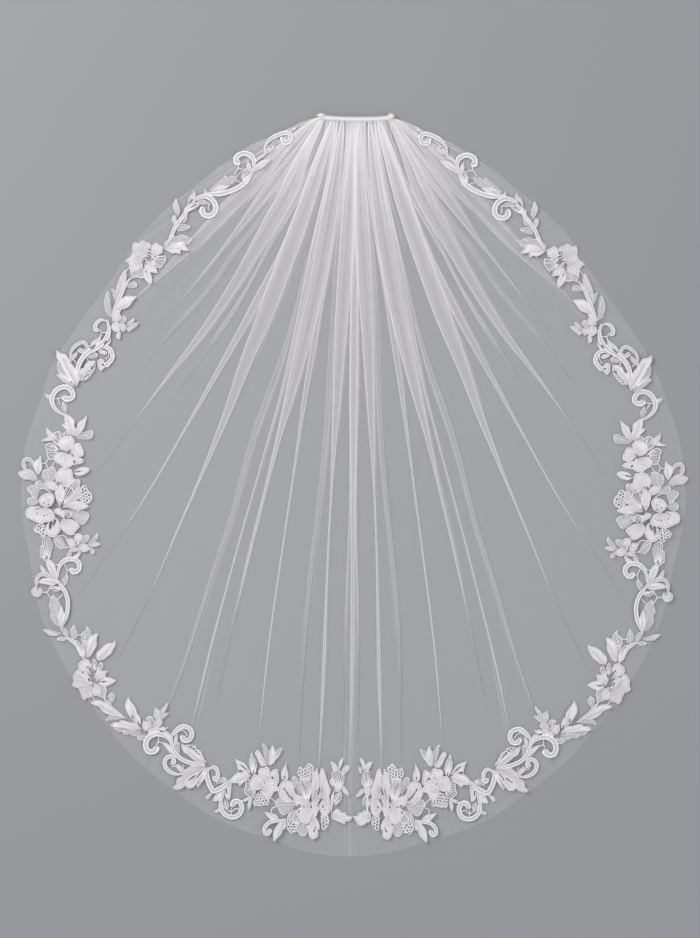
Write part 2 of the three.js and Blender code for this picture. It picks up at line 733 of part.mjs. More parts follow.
function laceMotif(rows, earlier) {
  const outlines = motifOutlines(rows),
    low = highestUnder(outlines.flat()) + GAP;
  let whole = levelled(join(outlines.map((ring) => slab(ring, low - 1, low + 5))), low, low + LACE_FLAT);
  earlier.forEach((other) => {
    const box = whole.boundingBox();
    motifOutlines(other, 2 * GAP).forEach((ring) => {
      const xs = ring.map((p) => p[0]),
        ys = ring.map((p) => p[1]);
      if (
        Math.max(...xs) > box.min[0] && Math.min(...xs) < box.max[0] &&
        Math.max(...ys) > box.min[1] && Math.min(...ys) < box.max[1]
      )
        whole = whole.subtract(slab(ring, low - 1, low + 5));
    });
  });
  rows
    .filter(([kind]) => kind === "hole")
    .forEach(([, , width, ...points]) => {
      whole = whole.subtract(slab(discOutline(points, width, 0, 4), low - 1, low + 5));
    });
  return tied(whole, low);
}

// Header: net drawn up over the comb's bar, with one swell for each gather
function header() {
  const stations = 25,
    rings = [];
  for (let i = 0; i < stations; i++) {
    const s = mix(-1, 1, i / (stations - 1)),
      x = s * HEADER_HALF * MM_PER_PIXEL,
      sag = HEADER_SAG * (1 - s * s) * MM_PER_PIXEL,
      swell = i % 2 ? 1 : 0.72,
      end = i === 0 || i === stations - 1 ? 0.55 : 1,
      deep = ((HEADER_DEEP - 1.2) * MM_PER_PIXEL) / 2,
      middle = TOP_Y - sag / 2 - deep - 0.2,
      foot = COMB_THICK + 2 * GAP;
    const profile = [[-1, 0], [-1, 0.45], [-0.45, 0.95], [0.35, 1], [1, 0.5], [1, 0]];
    rings.push(
      profile
        .map(([out, up]) => [
          x,
          middle + out * (deep - sag / 2 + 0.6),
          foot + up * end * swell * (HEADER_RISE - foot),
        ])
        .reverse(),
    );
  }
  return skin(rings);
}

function comb() {
  const half = COMB_LENGTH / 2,
    top = TOP_Y - 1.5,
    under = top - COMB_BAR,
    pitch = (COMB_LENGTH - TOOTH_WIDTH) / (TOOTH_COUNT - 1);
  const outline = [[half, under], [half, top - 1.5], [half - 1.5, top]];
  outline.push([-half + 1.5, top], [-half, top - 1.5], [-half, under]);
  for (let i = 0; i < TOOTH_COUNT; i++) {
    const left = -half + i * pitch,
      tip = under - TOOTH_LENGTH;
    if (i > 0) outline.push([left, under]);
    outline.push([left + 0.25 * TOOTH_WIDTH, tip], [left + 0.75 * TOOTH_WIDTH, tip]);
    if (i + 1 < TOOTH_COUNT) outline.push([left + TOOTH_WIDTH, under]);
  }
  return slab(outline, 0, COMB_THICK);
}

// Lumps of thread that fix the two ends of the header
function knot(side) {
  const g = new THREE.SphereGeometry(1, 8, 5);
  g.scale(4.3, 3.4, 2.9);
  g.rotateZ(side * 0.5);
  g.translate(side * 34.5 * MM_PER_PIXEL, TOP_Y + 3.8, 5.2);
  return solidFrom(g);
}

// Assembly
function meshFrom(solid) {
  const m = solid.getMesh(),
    g = new THREE.BufferGeometry(),
    positions = new Float32Array(m.numVert * 3);
  for (let i = 0; i < m.numVert; i++)
    positions.set(m.vertProperties.subarray(i * m.numProp, i * m.numProp + 3), 3 * i);
  g.setAttribute("position", new THREE.BufferAttribute(positions, 3));
  g.setIndex(new THREE.BufferAttribute(new Uint32Array(m.triVerts), 1));
  return g;
}

function mirrorX(geometry) {
  const g = geometry.clone(),
    p = g.attributes.position,
    index = g.index.array;
  for (let i = 0; i < p.count; i++) p.setX(i, -p.getX(i));
  for (let i = 0; i < index.length; i += 3) [index[i + 1], index[i + 2]] = [index[i + 2], index[i + 1]];
  return g;
}

const materials = {
  tulle: new THREE.MeshStandardMaterial({ color: 0xd9d5d6, roughness: 0.85, metalness: 0 }),
  lace: new THREE.MeshStandardMaterial({ color: 0xf3eef0, roughness: 0.6, metalness: 0 }),
  thread: new THREE.MeshStandardMaterial({ color: 0xd8cfc2, roughness: 0.8, metalness: 0 }),
  comb: new THREE.MeshStandardMaterial({ color: 0xe6e3dc, roughness: 0.3, metalness: 0 }),
};

const group = new THREE.Group();
function put(name, geometry, material) {
  const mesh = new THREE.Mesh(geometry, materials[material]);
  mesh.name = name;
  group.add(mesh);
}

put("comb", meshFrom(comb()), "comb");
put("gathered_header", header(), "tulle");
put("thread_knot_left", meshFrom(knot(-1)), "thread");
put("thread_knot_right", meshFrom(knot(1)), "thread");
put("tulle_net", net.geometry, "tulle");

const made = [];
for (const [name, rows] of Object.entries(LACE)) {
  const shape = meshFrom(laceMotif(rows, made)),
    other =
      name === "spray_bottom" ? meshFrom(laceMotif(SPRAY_ON_THE_RIGHT, made)) : shape;
  made.push(rows);
  put("lace_" + name + "_left", shape, "lace");
  put("lace_" + name + "_right", mirrorX(other), "lace");
}

export default group;
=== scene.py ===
"""A one-tier bridal veil of fine net, laid flat as a round fan, with a corded lace border."""

import math
import random

import bmesh
import bpy
import numpy as np
from mathutils import Matrix, Vector


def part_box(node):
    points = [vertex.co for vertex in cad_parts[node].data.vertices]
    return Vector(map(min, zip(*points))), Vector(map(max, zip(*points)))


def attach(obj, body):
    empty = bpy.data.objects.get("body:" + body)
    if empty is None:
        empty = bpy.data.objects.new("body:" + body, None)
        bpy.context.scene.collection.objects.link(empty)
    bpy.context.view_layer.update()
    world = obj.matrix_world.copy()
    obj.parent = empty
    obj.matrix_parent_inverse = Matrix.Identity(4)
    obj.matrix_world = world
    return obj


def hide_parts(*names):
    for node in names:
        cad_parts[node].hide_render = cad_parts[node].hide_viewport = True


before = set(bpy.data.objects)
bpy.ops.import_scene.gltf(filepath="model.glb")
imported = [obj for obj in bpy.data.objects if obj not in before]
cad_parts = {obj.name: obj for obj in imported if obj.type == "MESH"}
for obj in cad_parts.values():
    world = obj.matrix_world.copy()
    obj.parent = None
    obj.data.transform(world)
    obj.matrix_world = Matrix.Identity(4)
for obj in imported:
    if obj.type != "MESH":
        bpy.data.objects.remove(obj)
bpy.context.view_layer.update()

# The photo's frame is 700 x 938 pixels. Its pixels become metres in the veil's own plane.
PIXEL = 0.00138
FRAME_WIDE, FRAME_TALL = 700, 938
AXIS_TOP = (356, 117)  # middle of the comb's upper edge
AXIS_TILT = 0.00812  # the veil lies turned by half a degree
TOP_Y = 0.5062

NET_CELL = 0.00135  # one hole of the bridal net
NET_COVER = 0.12  # share of one layer of net that is thread
NET_REST = 0.0008  # the net lies this high over the floor
COMB_LIFT = 0.0024  # and this much higher where it runs over the comb
FOLD_RISE = 0.0006  # height of one layer of a pressed fold
ROW_COUNT = 58  # rows of the net's mesh from comb to hem

COMB_END = 38.0  # pixels from the comb's middle to the last gather

CORD_FINE, CORD_RAISED = 0.00042, 0.0006  # radius of the cords and threads of the lace
BEAD_SIZE = 0.0013
SLIT_HALF = 0.55  # half a slit's width, a little more than charted because the mesh steps
LEVEL_RISE, TOP_LEVEL = 0.00008, 28  # each piece of lace lies this much over the one before it

# Outline of the left half of the net: pixels below the comb's edge, half width in pixels
NET_EDGE = [
    (1, 38.5), (3, 45), (6, 54), (13, 67), (20, 85), (32, 108), (50, 134), (70, 160),
    (96, 192), (123, 217), (163, 242), (203, 271), (243, 298), (283, 313), (323, 326),
    (363, 331), (403, 330.5), (443, 322), (483, 315.5), (523, 301), (563, 279.5),
    (603, 250), (643, 216), (683, 165), (708, 124), (723, 79), (734, 45), (739, 0),
]

# Pressed folds of the left half, from the shoulder to the middle.
# name: place on the comb in pixels from its middle, share of full cover, where its line
# meets the hem (x, y), then its two edges going down: y, left x, right x
FOLDS = {
    "outer": (-37.2, 0.6, (82, 330), [
        (124, 306, 313), (135, 292, 302), (150, 273, 288), (170, 254, 275), (190, 236, 260),
        (210, 216, 235), (230, 200, 218), (250, 180, 196), (270, 163.5, 171.5),
        (284, 152, 155.5), (291, 145, 147.5), (299, 138, 140), (308, 134, 136)]),
    "pocket": (-36.0, 0.65, (28, 495), [
        (130, 309, 315), (150, 294, 303), (170, 276, 290), (184, 265, 281), (192, 259, 276),
        (200, 254, 267), (210, 248, 258), (220, 242, 250), (230, 235, 241), (240, 228, 232),
        (250, 220, 223.4), (270, 205, 208), (290, 188, 190), (304, 178, 180)]),
    "soft_shoulder": (-34.0, 0.35, (30, 530), [
        (130, 313, 318), (150, 301, 307), (178, 286, 294), (200, 271, 278), (222, 257, 263),
        (246, 235, 241), (282, 213, 219), (300, 197, 203), (336, 163, 169)]),
    "shoulder": (-32.0, 1.0, (35, 563), [
        (130, 313, 321), (150, 299, 311), (170, 289, 305), (190, 281, 300), (210, 269, 290),
        (230, 258, 275), (250, 248, 263), (270, 238, 250), (290, 226, 238), (310, 213, 224),
        (330, 200, 210), (350, 186, 193.5), (370, 170.5, 174.5), (390, 157, 159.6),
        (400, 149, 151.4), (412, 140, 142.4), (422, 134, 136)]),
    "narrow": (-27.5, 0.8, (42, 600), [
        (130, 325, 327), (150, 318, 321), (170, 309, 313), (196, 296, 302), (210, 287, 294),
        (230, 276, 280.4), (250, 265, 269), (270, 255.6, 258.6), (290, 245, 248.4),
        (310, 232, 237), (330, 218, 224), (350, 203, 210)]),
    "long_side": (-25.0, 1.0, (53, 634), [
        (130, 328, 329), (150, 321, 323), (190, 303, 305), (215, 295, 297), (250, 280, 283),
        (270, 270, 277), (290, 258, 268), (310, 248, 257.4), (330, 238, 246.4),
        (350, 226, 234), (370, 216, 222), (390, 205, 210), (410, 194.6, 198),
        (430, 183.6, 186.4), (450, 172, 174.6), (480, 155.6, 158), (500, 144.8, 147),
        (520, 129, 131), (535, 119, 121)]),
    "broad": (-22.5, 1.15, (97, 708), [
        (125, 330, 336), (140, 322, 332), (162, 312, 326), (190, 304, 319), (210, 296, 313),
        (230, 288, 306), (250, 280, 299), (270, 273, 291), (290, 265, 284), (310, 259, 277),
        (330, 251, 268), (350, 244, 258), (370, 236, 248), (400, 228, 238), (420, 221, 229),
        (440, 213, 219), (460, 206, 210), (480, 198.6, 201.4), (500, 190, 192.6),
        (520, 180, 182.4), (540, 173, 175.2), (560, 165, 167), (580, 157, 159),
        (595, 150.4, 152)]),
    "soft_middle": (-19.5, 0.4, (145, 765), [
        (150, 333, 336), (200, 323, 326), (250, 308, 311), (270, 302.6, 305.4),
        (290, 298.6, 301.4), (310, 294, 297), (330, 289, 292.4), (350, 283, 288),
        (380, 271, 279), (400, 262, 270), (420, 255.6, 262), (440, 249, 255),
        (460, 242.6, 248), (480, 239, 244), (500, 235, 239.6), (520, 229.6, 234.4),
        (540, 222, 227), (560, 213.6, 219), (580, 208, 213), (600, 202.6, 207),
        (620, 197.6, 202), (640, 192, 197), (660, 184, 188), (680, 175.6, 179.4),
        (700, 167.4, 170.6)]),
    "long_middle": (-18.0, 1.0, (176, 790), [
        (125, 336, 338), (140, 333, 335.4), (170, 328.6, 332), (200, 321.6, 325.4),
        (230, 314, 318), (250, 310.6, 315), (270, 306, 310), (290, 302.6, 307),
        (310, 298.6, 303), (330, 294, 298.8), (350, 290, 294), (370, 286, 289.6),
        (400, 278.8, 281.6), (440, 266.8, 269.4), (480, 256, 258.4), (520, 243.8, 246.2),
        (560, 233, 235.6), (600, 222.4, 225), (620, 216.8, 219.6), (640, 210.4, 214),
        (660, 205, 209.6), (680, 203.6, 207), (700, 201, 203.6), (722, 195.4, 197)]),
    "middle": (-13.5, 1.1, (197, 803), [
        (125, 340, 345), (140, 336, 344), (170, 331, 342), (200, 325, 338.6), (230, 319, 335),
        (250, 315, 332), (270, 311, 329), (290, 309, 325), (310, 304, 319.6),
        (330, 299, 314.6), (350, 295, 309), (370, 290, 303), (400, 284, 294), (420, 280, 287),
        (440, 275.6, 280), (460, 271.4, 274.6), (480, 267, 269.8), (500, 262, 265),
        (520, 256, 260), (540, 250.6, 254), (560, 246.4, 249.4), (580, 242, 244.6),
        (600, 237.6, 240), (625, 231, 233)]),
    "long_inner": (-9.0, 1.0, (253, 832), [
        (150, 347, 349), (200, 339, 342), (250, 330, 333.4), (290, 321.6, 325.4),
        (310, 317, 321.4), (330, 313, 319.8), (350, 310, 316.2), (370, 306, 312),
        (400, 302, 307), (420, 299.6, 303.4), (440, 297, 300), (460, 294.6, 297),
        (480, 291.6, 294), (520, 285.6, 288), (560, 279.6, 282), (600, 273.4, 275.8),
        (620, 270, 272.6), (660, 265.4, 267.8), (700, 262, 264), (738, 259.8, 261.4)]),
    "soft_inner": (-7.0, 0.35, (296, 845), [
        (150, 349, 351), (200, 343, 346), (250, 335, 338), (330, 329.6, 333.4),
        (380, 326.6, 332), (420, 324.6, 330), (460, 321.6, 327), (480, 319.6, 324.6),
        (500, 316.8, 321.4), (520, 314.6, 318.6), (540, 311.8, 316), (560, 309.8, 314.2),
        (580, 306.6, 311.8), (600, 304.6, 310), (630, 301.6, 307.4), (658, 300.6, 305)]),
    "inner": (-4.5, 1.1, (315, 849), [
        (125, 351, 354), (140, 350, 356), (170, 346.6, 357), (200, 342.6, 356),
        (235, 340.6, 355.6), (255, 339, 354.6), (280, 337.2, 352), (300, 336, 349.8),
        (325, 334.8, 347.6), (350, 334, 345.6), (370, 333, 343.8), (400, 332.4, 341),
        (420, 332.2, 339), (440, 332, 337), (460, 331.8, 335), (480, 331, 333.4),
        (500, 329.8, 332), (540, 327.2, 329.6), (580, 325.8, 328.4), (620, 323.6, 327.4),
        (640, 322.8, 327.8), (680, 321.4, 326), (700, 320.8, 324.8), (720, 319.8, 322.8),
        (745, 318.8, 321), (762, 318.4, 320)]),
    "beside_middle": (-2.0, 0.9, (342, 853), [
        (200, 352.6, 354), (300, 350.4, 352.4), (380, 349, 351), (440, 349.4, 351.2),
        (500, 349.6, 351.4), (520, 349, 350.8), (540, 347.6, 349.6), (580, 345.6, 347.6),
        (620, 344.2, 346), (650, 343.6, 345.2), (668, 343.4, 344.6)]),
}

# The fold on the axis, with its two edges as above
MIDDLE_FOLD = (0, 0.9, (350.2, 856), [
    (200, 354, 357), (280, 351, 358.2), (330, 350, 358.4), (380, 349.4, 358.6),
    (420, 349.8, 357.4), (460, 350.4, 356.4), (500, 350.8, 355.2), (560, 351, 355),
    (640, 350.6, 355), (680, 350.6, 353.8), (720, 350, 351.8), (758, 349.2, 350.4)])

# Lines without a fold that carry the net out to the shoulder, met at the hem: below, half width
SHOULDER_LINES = [(6, 54), (17, 77), (32, 108), (50, 134), (70, 160), (96, 192), (123, 217),
                  (155, 238)]

# The border, motif by motif: its middle in photo pixels, then its pieces from the lowest to the
# highest. Their places are in half pixels beside that middle, their widths in pixels. After its
# kind a row has, for a
#   leaf or petal: foot x, y, then outline x, y ... from one side of the foot round to the other
#   blade, a narrow leaf: width, foot x, y, tip x, y
#   scroll or stem: width, then x, y ... along its line. A scroll ends in its curl
#   bar of thread: x, y ... along its line. A top bar lies over all the rest
# A slit has its width and x, y, or its width and both ends. A bead has its size and x, y.
LACE = {}


def motif(name, middle, rows, slits=(), beads=(), sides=("left", "right")):
    """Charts a motif of the left half. The right half is its mirror image."""
    for word in sides:
        LACE[f"{name}_{word}"] = middle, rows, slits, beads


motif("scroll_top", (271, 150), [
    ("satin blade", 3.5, 36, -36, 55, -51),
    ("satin scroll", 4.6, -12, 7, -12, -5, -6, -16, 5, -25, 18, -31, 30, -34, 38, -31, 40, -23, 36, -16,
     28, -14, 24, -20, 26, -26),
    ("bar", 0, -11, 6, -16, 14, -21),
    ("satin petal", -11, 8, -10, 0, -6, -7, 0, -10, 6, -8, 7, -3, 2, 3, -5, 7),
    ("satin stem", 3, -10, 7, -18, 13, -26, 18, -32, 26),
    ("satin leaf", -37, 42, -36, 34, -30, 29, -22, 23, -14, 19, -6, 18, 0, 18, -3, 24, -8, 30, -16, 36,
     -26, 41, -33, 45),
], slits=[(1.5, -1, -5)])
motif("scroll_shoulder", (232, 178), [
    ("satin scroll", 5.4, 41, -16, 44, -28, 42, -40, 35, -46, 26, -49, 17, -47, 10, -42, 8, -35, 11, -31,
     17, -33),
    ("ribs blade", 8, 26, 12, 28, -20),
    ("satin blade", 5, 36, -10, 32, -36),
    ("satin stem", 5, 42, -16, 34, 0, 25, 11, 12, 20, -4, 27, -22, 32, -38, 33, -50, 29),
    ("net leaf", -46, 28, -45, 23, -38, 16, -30, 8, -22, 2, -14, -4, -9, -1, -2, -4, 5, -4, 12, -6, 8, 3,
     2, 11, -7, 15, -24, 16, -36, 23),
    ("satin leaf", -44, 30, -41, 24, -34, 19, -25, 15, -14, 15, -4, 16, -12, 23, -22, 29, -33, 32),
    ("bar", 4, -6, 13, -18, 23, -16),
    ("bar", 13, -27, 13, -18),
    ("bar", 7, 5, 19, 10),
], beads=[(2, -24, 22)])
motif("sprig_shoulder", (187, 219), [
    ("satin scroll", 5.4, 6, -30, 18, -40, 32, -45, 44, -43, 54, -34, 58, -22, 54, -11, 44, -6, 34, -9,
     31, -17, 36, -22),
    ("satin blade", 3.5, 37, -44, 37, -61),
    ("net leaf", 14, -31, 22, -29, 32, -29, 40, -30, 47, -29, 39, -35, 30, -39, 22, -38),
    ("bar", 45, -29, 43, -22, 46, -16),
    ("satin stem", 3.8, 14, -34, 4, -22, -5, -8, -15, 4, -24, 18, -30, 32, -42, 54),
    ("grey leaf", 2, -22, 1, -32, 2, -40, 6, -47, 12, -53, 13, -58, 18, -51, 18, -42, 16, -34, 10, -28),
    ("ribs leaf", -6, -12, -6, -20, 0, -26, 6, -29, 14, -32, 24, -30, 24, -26, 18, -21, 8, -17, 0, -13),
    ("grey leaf", -18, -4, -22, -8, -26, -16, -29, -26, -26, -35, -21, -41, -17, -32, -14, -22, -14,
     -12),
    ("grey leaf", -24, 14, -29, 8, -31, 0, -28, -7, -22, -6, -20, 2),
    ("net leaf", -18, 6, -15, -3, -10, -8, -4, -12, 1, -10, 0, -2, -3, 6, -10, 9),
    ("net leaf", -22, 18, -14, 10, -4, 11, 7, 15, 2, 21, -8, 24, -18, 25),
    ("net leaf", -47, 57, -46, 47, -39, 41, -31, 33, -22, 35, -12, 32, -3, 33, 4, 37, 14, 36, 8, 45, 2,
     51, -14, 53, -32, 57),
    ("satin leaf", -47, 58, -37, 54, -27, 53, -20, 47, -13, 44, -6, 47, -2, 55, 5, 64, -5, 64, -12, 63,
     -13, 71, -22, 68, -27, 70, -36, 66),
], slits=[(1.4, 6, -32, 11, -38), (1.4, 40, -14, 43, -13), (1.5, -22, 29)])
motif("flower_shoulder", (146, 261), [
    ("grey petal", 0, -8, -26, -18, -28, -25, -27, -32, -23, -38, -16, -36, -10, -40, -4, -41, 0, -38, 7,
     -36, 11, -30, 8, -22, 3, -16),
    ("grey petal", 2, -6, -6, -17, -16, -21, -26, -19, -31, -10, -38, -4, -42, 1, -36, 4, -33, 10, -28,
     15, -18, 10, -8, 2),
    ("satin petal", 12, -8, 10, -22, 11, -29, 15, -33, 20, -36, 25, -33, 28, -31, 34, -28, 34, -21, 31,
     -14, 22, -12),
    ("ribs petal", 8, -4, 13, -10, 22, -12, 30, -9, 38, -11, 40, -5, 40, 0, 35, 7, 32, 12, 27, 15, 21,
     12, 13, 6),
    ("net petal", -10, 6, -32, 14, -31, 22, -29, 30, -32, 37, -24, 34, -16, 33, -10, 35, -4, 33, -2, 22,
     -4, 13),
    ("satin petal", -6, 2, -18, 3, -28, 8, -31, 16, -24, 22, -14, 19, -6, 13),
    ("satin leaf", -3, 12, -6, 24, -4, 33, 2, 41, 10, 47, 13, 36, 10, 26, 4, 18),
    ("satin petal", 2, -2, -3, 6, -2, 15, 4, 21, 10, 23, 17, 24, 24, 25, 22, 18, 21, 13, 14, 7, 9, 0),
    ("ribs petal", 0, -6, -12, 5, -11, -3, -7, -9, 0, -11, 6, -9),
    ("bar", 5, -21, 10, -17, 18, -15),
    ("bar", 3, -14, 10, -11, 16, -5),
], slits=[(1.9, 6, -22), (2, 11, -9), (1.7, 10, 0), (2.2, 0, 6), (1.6, 0, 22), (1.6, 5, -5)],
    beads=[(2, 1, -2)])
motif("spray_upper", (122, 309), [
    ("bar", 16, -84, 6, -72),
    ("net leaf", -11, -12, -18, -26, -21, -40, -15, -38, -10, -30, -8, -20),
    ("grey leaf", -9, -12, -13, -26, -13, -38, -9, -52, -3, -66, 5, -78, 9, -72, 10, -62, 6, -48, 0, -34,
     -6, -20),
    ("satin stem", 3.6, 18, -62, 8, -50, 0, -32, -8, -14, -14, 0, -20, 16),
    ("net leaf", 4, -47, 12, -43, 24, -42, 30, -45, 29, -52, 22, -55, 12, -52),
    ("net leaf", -20, 18, -30, 10, -34, 0, -36, -12, -33, -26, -28, -35, -24, -30, -22, -18, -21, -2),
    ("satin leaf", -18, 6, -10, -10, -2, -20, 8, -26, 18, -26, 29, -24, 22, -15, 16, -6, 9, -1, 0, 1, -4,
     8, -12, 12),
    ("net petal", -6, 28, -3, 19, 2, 15, 8, 17, 10, 23, 5, 29),
    ("grey leaf", 8, 34, 12, 25, 18, 21, 23, 18, 26, 22, 22, 29, 16, 33),
    ("grey leaf", 8, 37, 16, 33, 26, 27, 34, 28, 28, 36, 20, 42, 15, 46, 10, 43),
    ("grey petal", -8, 30, -2, 44, 4, 46, 8, 41, 9, 33, 2, 28),
    ("satin leaf", -6, 44, -11, 50, -11, 57, -4, 61, -2, 52, -2, 46),
    ("satin petal", -20, 26, -18, 10, -10, 5, -4, 10, -1, 18, -6, 26),
    ("satin petal", -18, 26, -22, 36, -19, 42, -10, 47, -3, 42, -2, 32, -8, 26),
], slits=[(1.5, -23, 23), (1.5, -22, 30), (1.3, -17, 26)])
motif("scroll_upper", (88, 359), [
    ("satin scroll", 3.8, 36, -76, 28, -78, 20, -74, 15, -66, 16, -58, 22, -59),
    ("bar", 22, -60, 28, -53, 38, -53),
    ("bar", 28, -53, 26, -45),
    ("satin leaf", 3, -18, 4, -28, 9, -35, 16, -40, 23, -46, 26, -49, 26, -38, 24, -30, 18, -24, 10,
     -20),
    ("satin leaf", 28, -26, 32, -36, 38, -41, 45, -44, 46, -35, 42, -28, 36, -24),
    ("satin scroll", 4.6, 20, -19, 32, -24, 43, -20, 49, -10, 48, 0, 41, 9, 34, 14),
    ("satin petal", 36, 14, 32, 2, 26, 0, 20, 4, 20, 14, 22, 20, 27, 24, 32, 19),
    ("satin petal", 20, -18, 26, -19, 34, -17, 39, -12, 35, -8, 27, -10, 22, -13),
    ("net leaf", -5, -4, -2, -11, 6, -15, 15, -13, 20, -8, 17, -3, 8, -1, 1, -1),
    ("bar", 42, -16, 41, -6, 36, 1),
    ("bar", -2, -2, 1, 4, 6, 6),
    ("bar", -31, 0, -23, 7),
    ("coarse leaf", -18, 43, -11, 35, -4, 28, 3, 22, 6, 15, 13, 9, 15, 5, 15, 16, 11, 26, 4, 35, -2, 41,
     -9, 44),
    ("satin leaf", -19, 42, -18, 28, -15, 20, -7, 17, -5, 10, 2, 5, 14, 4, 12, 10, 5, 16, 1, 23, -6, 29,
     -13, 36),
    ("grey scroll", 3.8, -34, 6, -35, -8, -30, -20, -20, -29, -10, -33, -2, -27, -1, -19, -8, -14, -15,
     -17, -19, -21),
    ("grey leaf", -36, 4, -35, -6, -28, -11, -22, -15, -20, -10, -24, -2, -30, 3),
    ("grey leaf", -25, 58, -36, 55, -48, 47, -56, 40, -63, 32, -56, 29, -46, 35, -34, 45),
    ("ribs leaf", -24, 56, -34, 46, -46, 37, -56, 30, -61, 20, -61, 8, -56, 4, -47, 16, -38, 29, -28,
     44),
    ("satin leaf", -22, 56, -33, 45, -42, 34, -49, 20, -57, 6, -63, -5, -62, -17, -55, -12, -44, -9, -38,
     -1, -33, 8, -26, 17, -18, 25, -15, 38),
    ("satin stem", 5, 38, -78, 42, -66, 42, -54, 38, -42, 30, -32, 18, -22, 4, -15, -6, -7, -14, 4, -19,
     16, -20, 28, -21, 44),
], slits=[(1.6, 7, -21, 15, -27), (1.4, 34, -30, 38, -35), (1.4, 29, 11, 31, 12), (1.7, -11, 38, -7, 36),
    (1.5, -3, 33, 0, 30), (1.7, 5, 25), (1.7, 9, 16, 8, 19), (1.2, -44, 26, -36, 37),
    (1.2, -40, 41, -32, 48)])
motif("scroll_side", (71, 416), [
    ("satin scroll", 5, -8, 0, -22, -7, -33, -17, -38, -30, -35, -43, -27, -53, -15, -58, -4, -56, 3,
     -48, 4, -39, -3, -34, -11, -35, -13, -42),
    ("grey blade", 5, -36, -34, -53, -45),
    ("net blade", 6, -10, -6, -16, -29),
    ("bar", -32, -34, -18, -36),
    ("bar", -26, -34, -21, -23),
    ("satin leaf", 6, 42, -8, 29, -18, 18, -12, 14, -14, 5, -10, -4, -1, 1, 7, 8, 10, 20, 10, 32),
    ("satin leaf", 7, 42, 12, 24, 14, 14, 22, 8, 32, 0, 30, 14, 26, 26, 18, 36),
    ("net leaf", 8, 42, 18, 34, 28, 31, 38, 28, 45, 31, 44, 40, 38, 46, 26, 47, 16, 46),
], slits=[(2, 10, 10, 9, 21)])
motif("flower_upper", (63, 448), [
    ("satin petal", -16, -14, -28, -19, -33, -30, -32, -40, -26, -35, -18, -28, -13, -20),
    ("satin petal", -16, -16, -30, -22, -43, -15, -38, -13, -26, -14),
    ("ribs petal", 0, 0, -14, -4, -24, -17, -20, -28, -12, -33, -6, -33, 0, -29, 6, -34, 12, -31, 18,
     -23, 16, -14),
    ("ribs petal", -4, 8, -12, -2, -20, -8, -28, -10, -36, -4, -33, 4, -32, 14, -28, 23, -20, 25, -12,
     20),
    ("satin petal", 8, 8, -6, 2, -8, -8, -6, -16, 2, -21, 12, -24, 20, -21, 24, -14, 22, -2),
    ("satin petal", 16, 12, 26, 18, 34, 19, 42, 25, 38, 31, 28, 33, 20, 34),
    ("satin petal", 14, 8, 22, -6, 26, -10, 34, -9, 38, -2, 42, 8, 40, 16, 30, 19, 22, 15),
    ("satin petal", 6, 9, -8, 8, -16, 16, -17, 24, -12, 30, -4, 34, 2, 40, 12, 39, 20, 34, 24, 24, 20,
     14),
], slits=[(2, 11, 11), (2.2, 20, 15), (2, 23, 27), (1.6, -25, 3)], beads=[(2, 3, 21), (2, -22, -2)])
